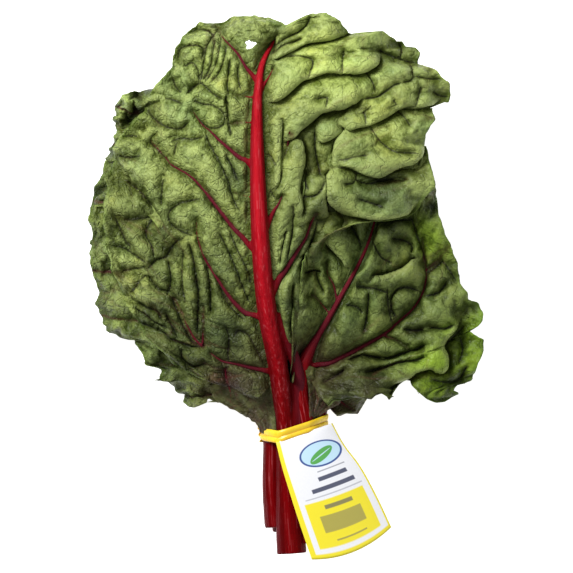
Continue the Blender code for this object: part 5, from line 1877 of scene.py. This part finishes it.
class ChardTagSettings(bpy.types.PropertyGroup):
    """Colours of the tag."""

    tag_white: colour_prop("Card", "Card of the tag", (0.9, 0.91, 0.95))
    tag_yellow: colour_prop("Border", "Border and panel", (0.93, 0.8, 0.03))
    tag_green: colour_prop("Leaf", "Printed leaf", (0.1, 0.4, 0.09))
    tag_blue: colour_prop("Badge rim", "Rim of the printed badge", (0.03, 0.08, 0.3))
    tag_sky: colour_prop("Badge", "Printed badge", (0.55, 0.78, 0.93))
    tag_ink: colour_prop("Rules", "Printed rules", (0.05, 0.06, 0.12))


class ChardStageSettings(bpy.types.PropertyGroup):
    """Floor, lights and camera."""

    floor: colour_prop("Floor", "Floor", (0.93, 0.93, 0.93))
    floor_glow: number_prop("Floor glow", "Light that the floor gives off itself", 0.85, min=0.0)
    key: number_prop("Key light", "Power of the light from the upper left", 42.0, min=0.0, unit="POWER")
    fill: number_prop("Fill light", "Power of the light from the lower right", 4.0, min=0.0, unit="POWER")
    sky: number_prop("Sky", "Strength of the light from all round", 0.35, min=0.0)
    camera_height: number_prop("Camera height", "Height of the camera above the floor", 3.0, min=1.0, unit="LENGTH")
    view_width: number_prop("View width", "Width that the camera sees", 0.42975, min=0.1, unit="LENGTH")


class ChardBlades(bpy.types.Operator):
    """Add the crumpled green blades of all leaves"""

    bl_idname = "chard.blades"
    bl_label = "Leaf Blades"

    def execute(self, context):
        for leaf in LEAVES:
            make_blade(leaf.name, context.scene.chard_leaf)
        for name in WINGS:
            make_wing(name, context.scene.chard_leaf)
        return {"FINISHED"}


class ChardStalks(bpy.types.Operator):
    """Add the crimson stalks, with their midribs and side veins"""

    bl_idname = "chard.stalks"
    bl_label = "Stalks and Veins"

    def execute(self, context):
        for leaf in LEAVES:
            make_stalk(leaf.name, context.scene.chard_leaf)
        return {"FINISHED"}


class ChardTie(bpy.types.Operator):
    """Add the yellow tie round the stalks"""

    bl_idname = "chard.tie"
    bl_label = "Tie"

    def execute(self, context):
        make_tie(context.scene.chard_tie)
        return {"FINISHED"}


class ChardTag(bpy.types.Operator):
    """Add the card tag that hangs from the tie"""

    bl_idname = "chard.tag"
    bl_label = "Tag"

    def execute(self, context):
        make_tag(context.scene.chard_tag)
        return {"FINISHED"}


class ChardStage(bpy.types.Operator):
    """Add the floor, the lights and the camera"""

    bl_idname = "chard.stage"
    bl_label = "Stage"

    def execute(self, context):
        make_stage(context.scene.chard_stage)
        return {"FINISHED"}


class ChardPanel(bpy.types.Panel):
    """Pieces of the chard bunch"""

    bl_idname = "VIEW3D_PT_chard"
    bl_label = "Swiss Chard Bunch"
    bl_space_type = "VIEW_3D"
    bl_region_type = "UI"
    bl_category = "Chard"

    def draw(self, context):
        for settings, operators in GROUPS.items():
            box = self.layout.box()
            for operator in operators:
                box.operator(operator)
            group_of = getattr(context.scene, settings)
            for name in group_of.bl_rna.properties.keys():
                if name not in ("rna_type", "name"):
                    box.prop(group_of, name)


GROUPS = {
    "chard_leaf": ("chard.blades", "chard.stalks"),
    "chard_tie": ("chard.tie",),
    "chard_tag": ("chard.tag",),
    "chard_stage": ("chard.stage",),
}
SETTINGS = {
    "chard_leaf": ChardLeafSettings,
    "chard_tie": ChardTieSettings,
    "chard_tag": ChardTagSettings,
    "chard_stage": ChardStageSettings,
}
CLASSES = (*SETTINGS.values(), ChardBlades, ChardStalks, ChardTie, ChardTag, ChardStage, ChardPanel)


def register():
    for cls in CLASSES:
        bpy.utils.register_class(cls)
    for name, cls in SETTINGS.items():
        setattr(bpy.types.Scene, name, bpy.props.PointerProperty(type=cls))


def unregister():
    for name in SETTINGS:
        delattr(bpy.types.Scene, name)
    for cls in reversed(CLASSES):
        bpy.utils.unregister_class(cls)


def main():
    register()
    for operators in GROUPS.values():
        for operator in operators:
            family, name = operator.split(".")
            getattr(getattr(bpy.ops, family), name)()
    boxes = {"cad": CAD_BOX, "visual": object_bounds()}
    {name: [list(corner) for corner in box] for name, box in boxes.items()}


if __name__ == "__main__":
    main()
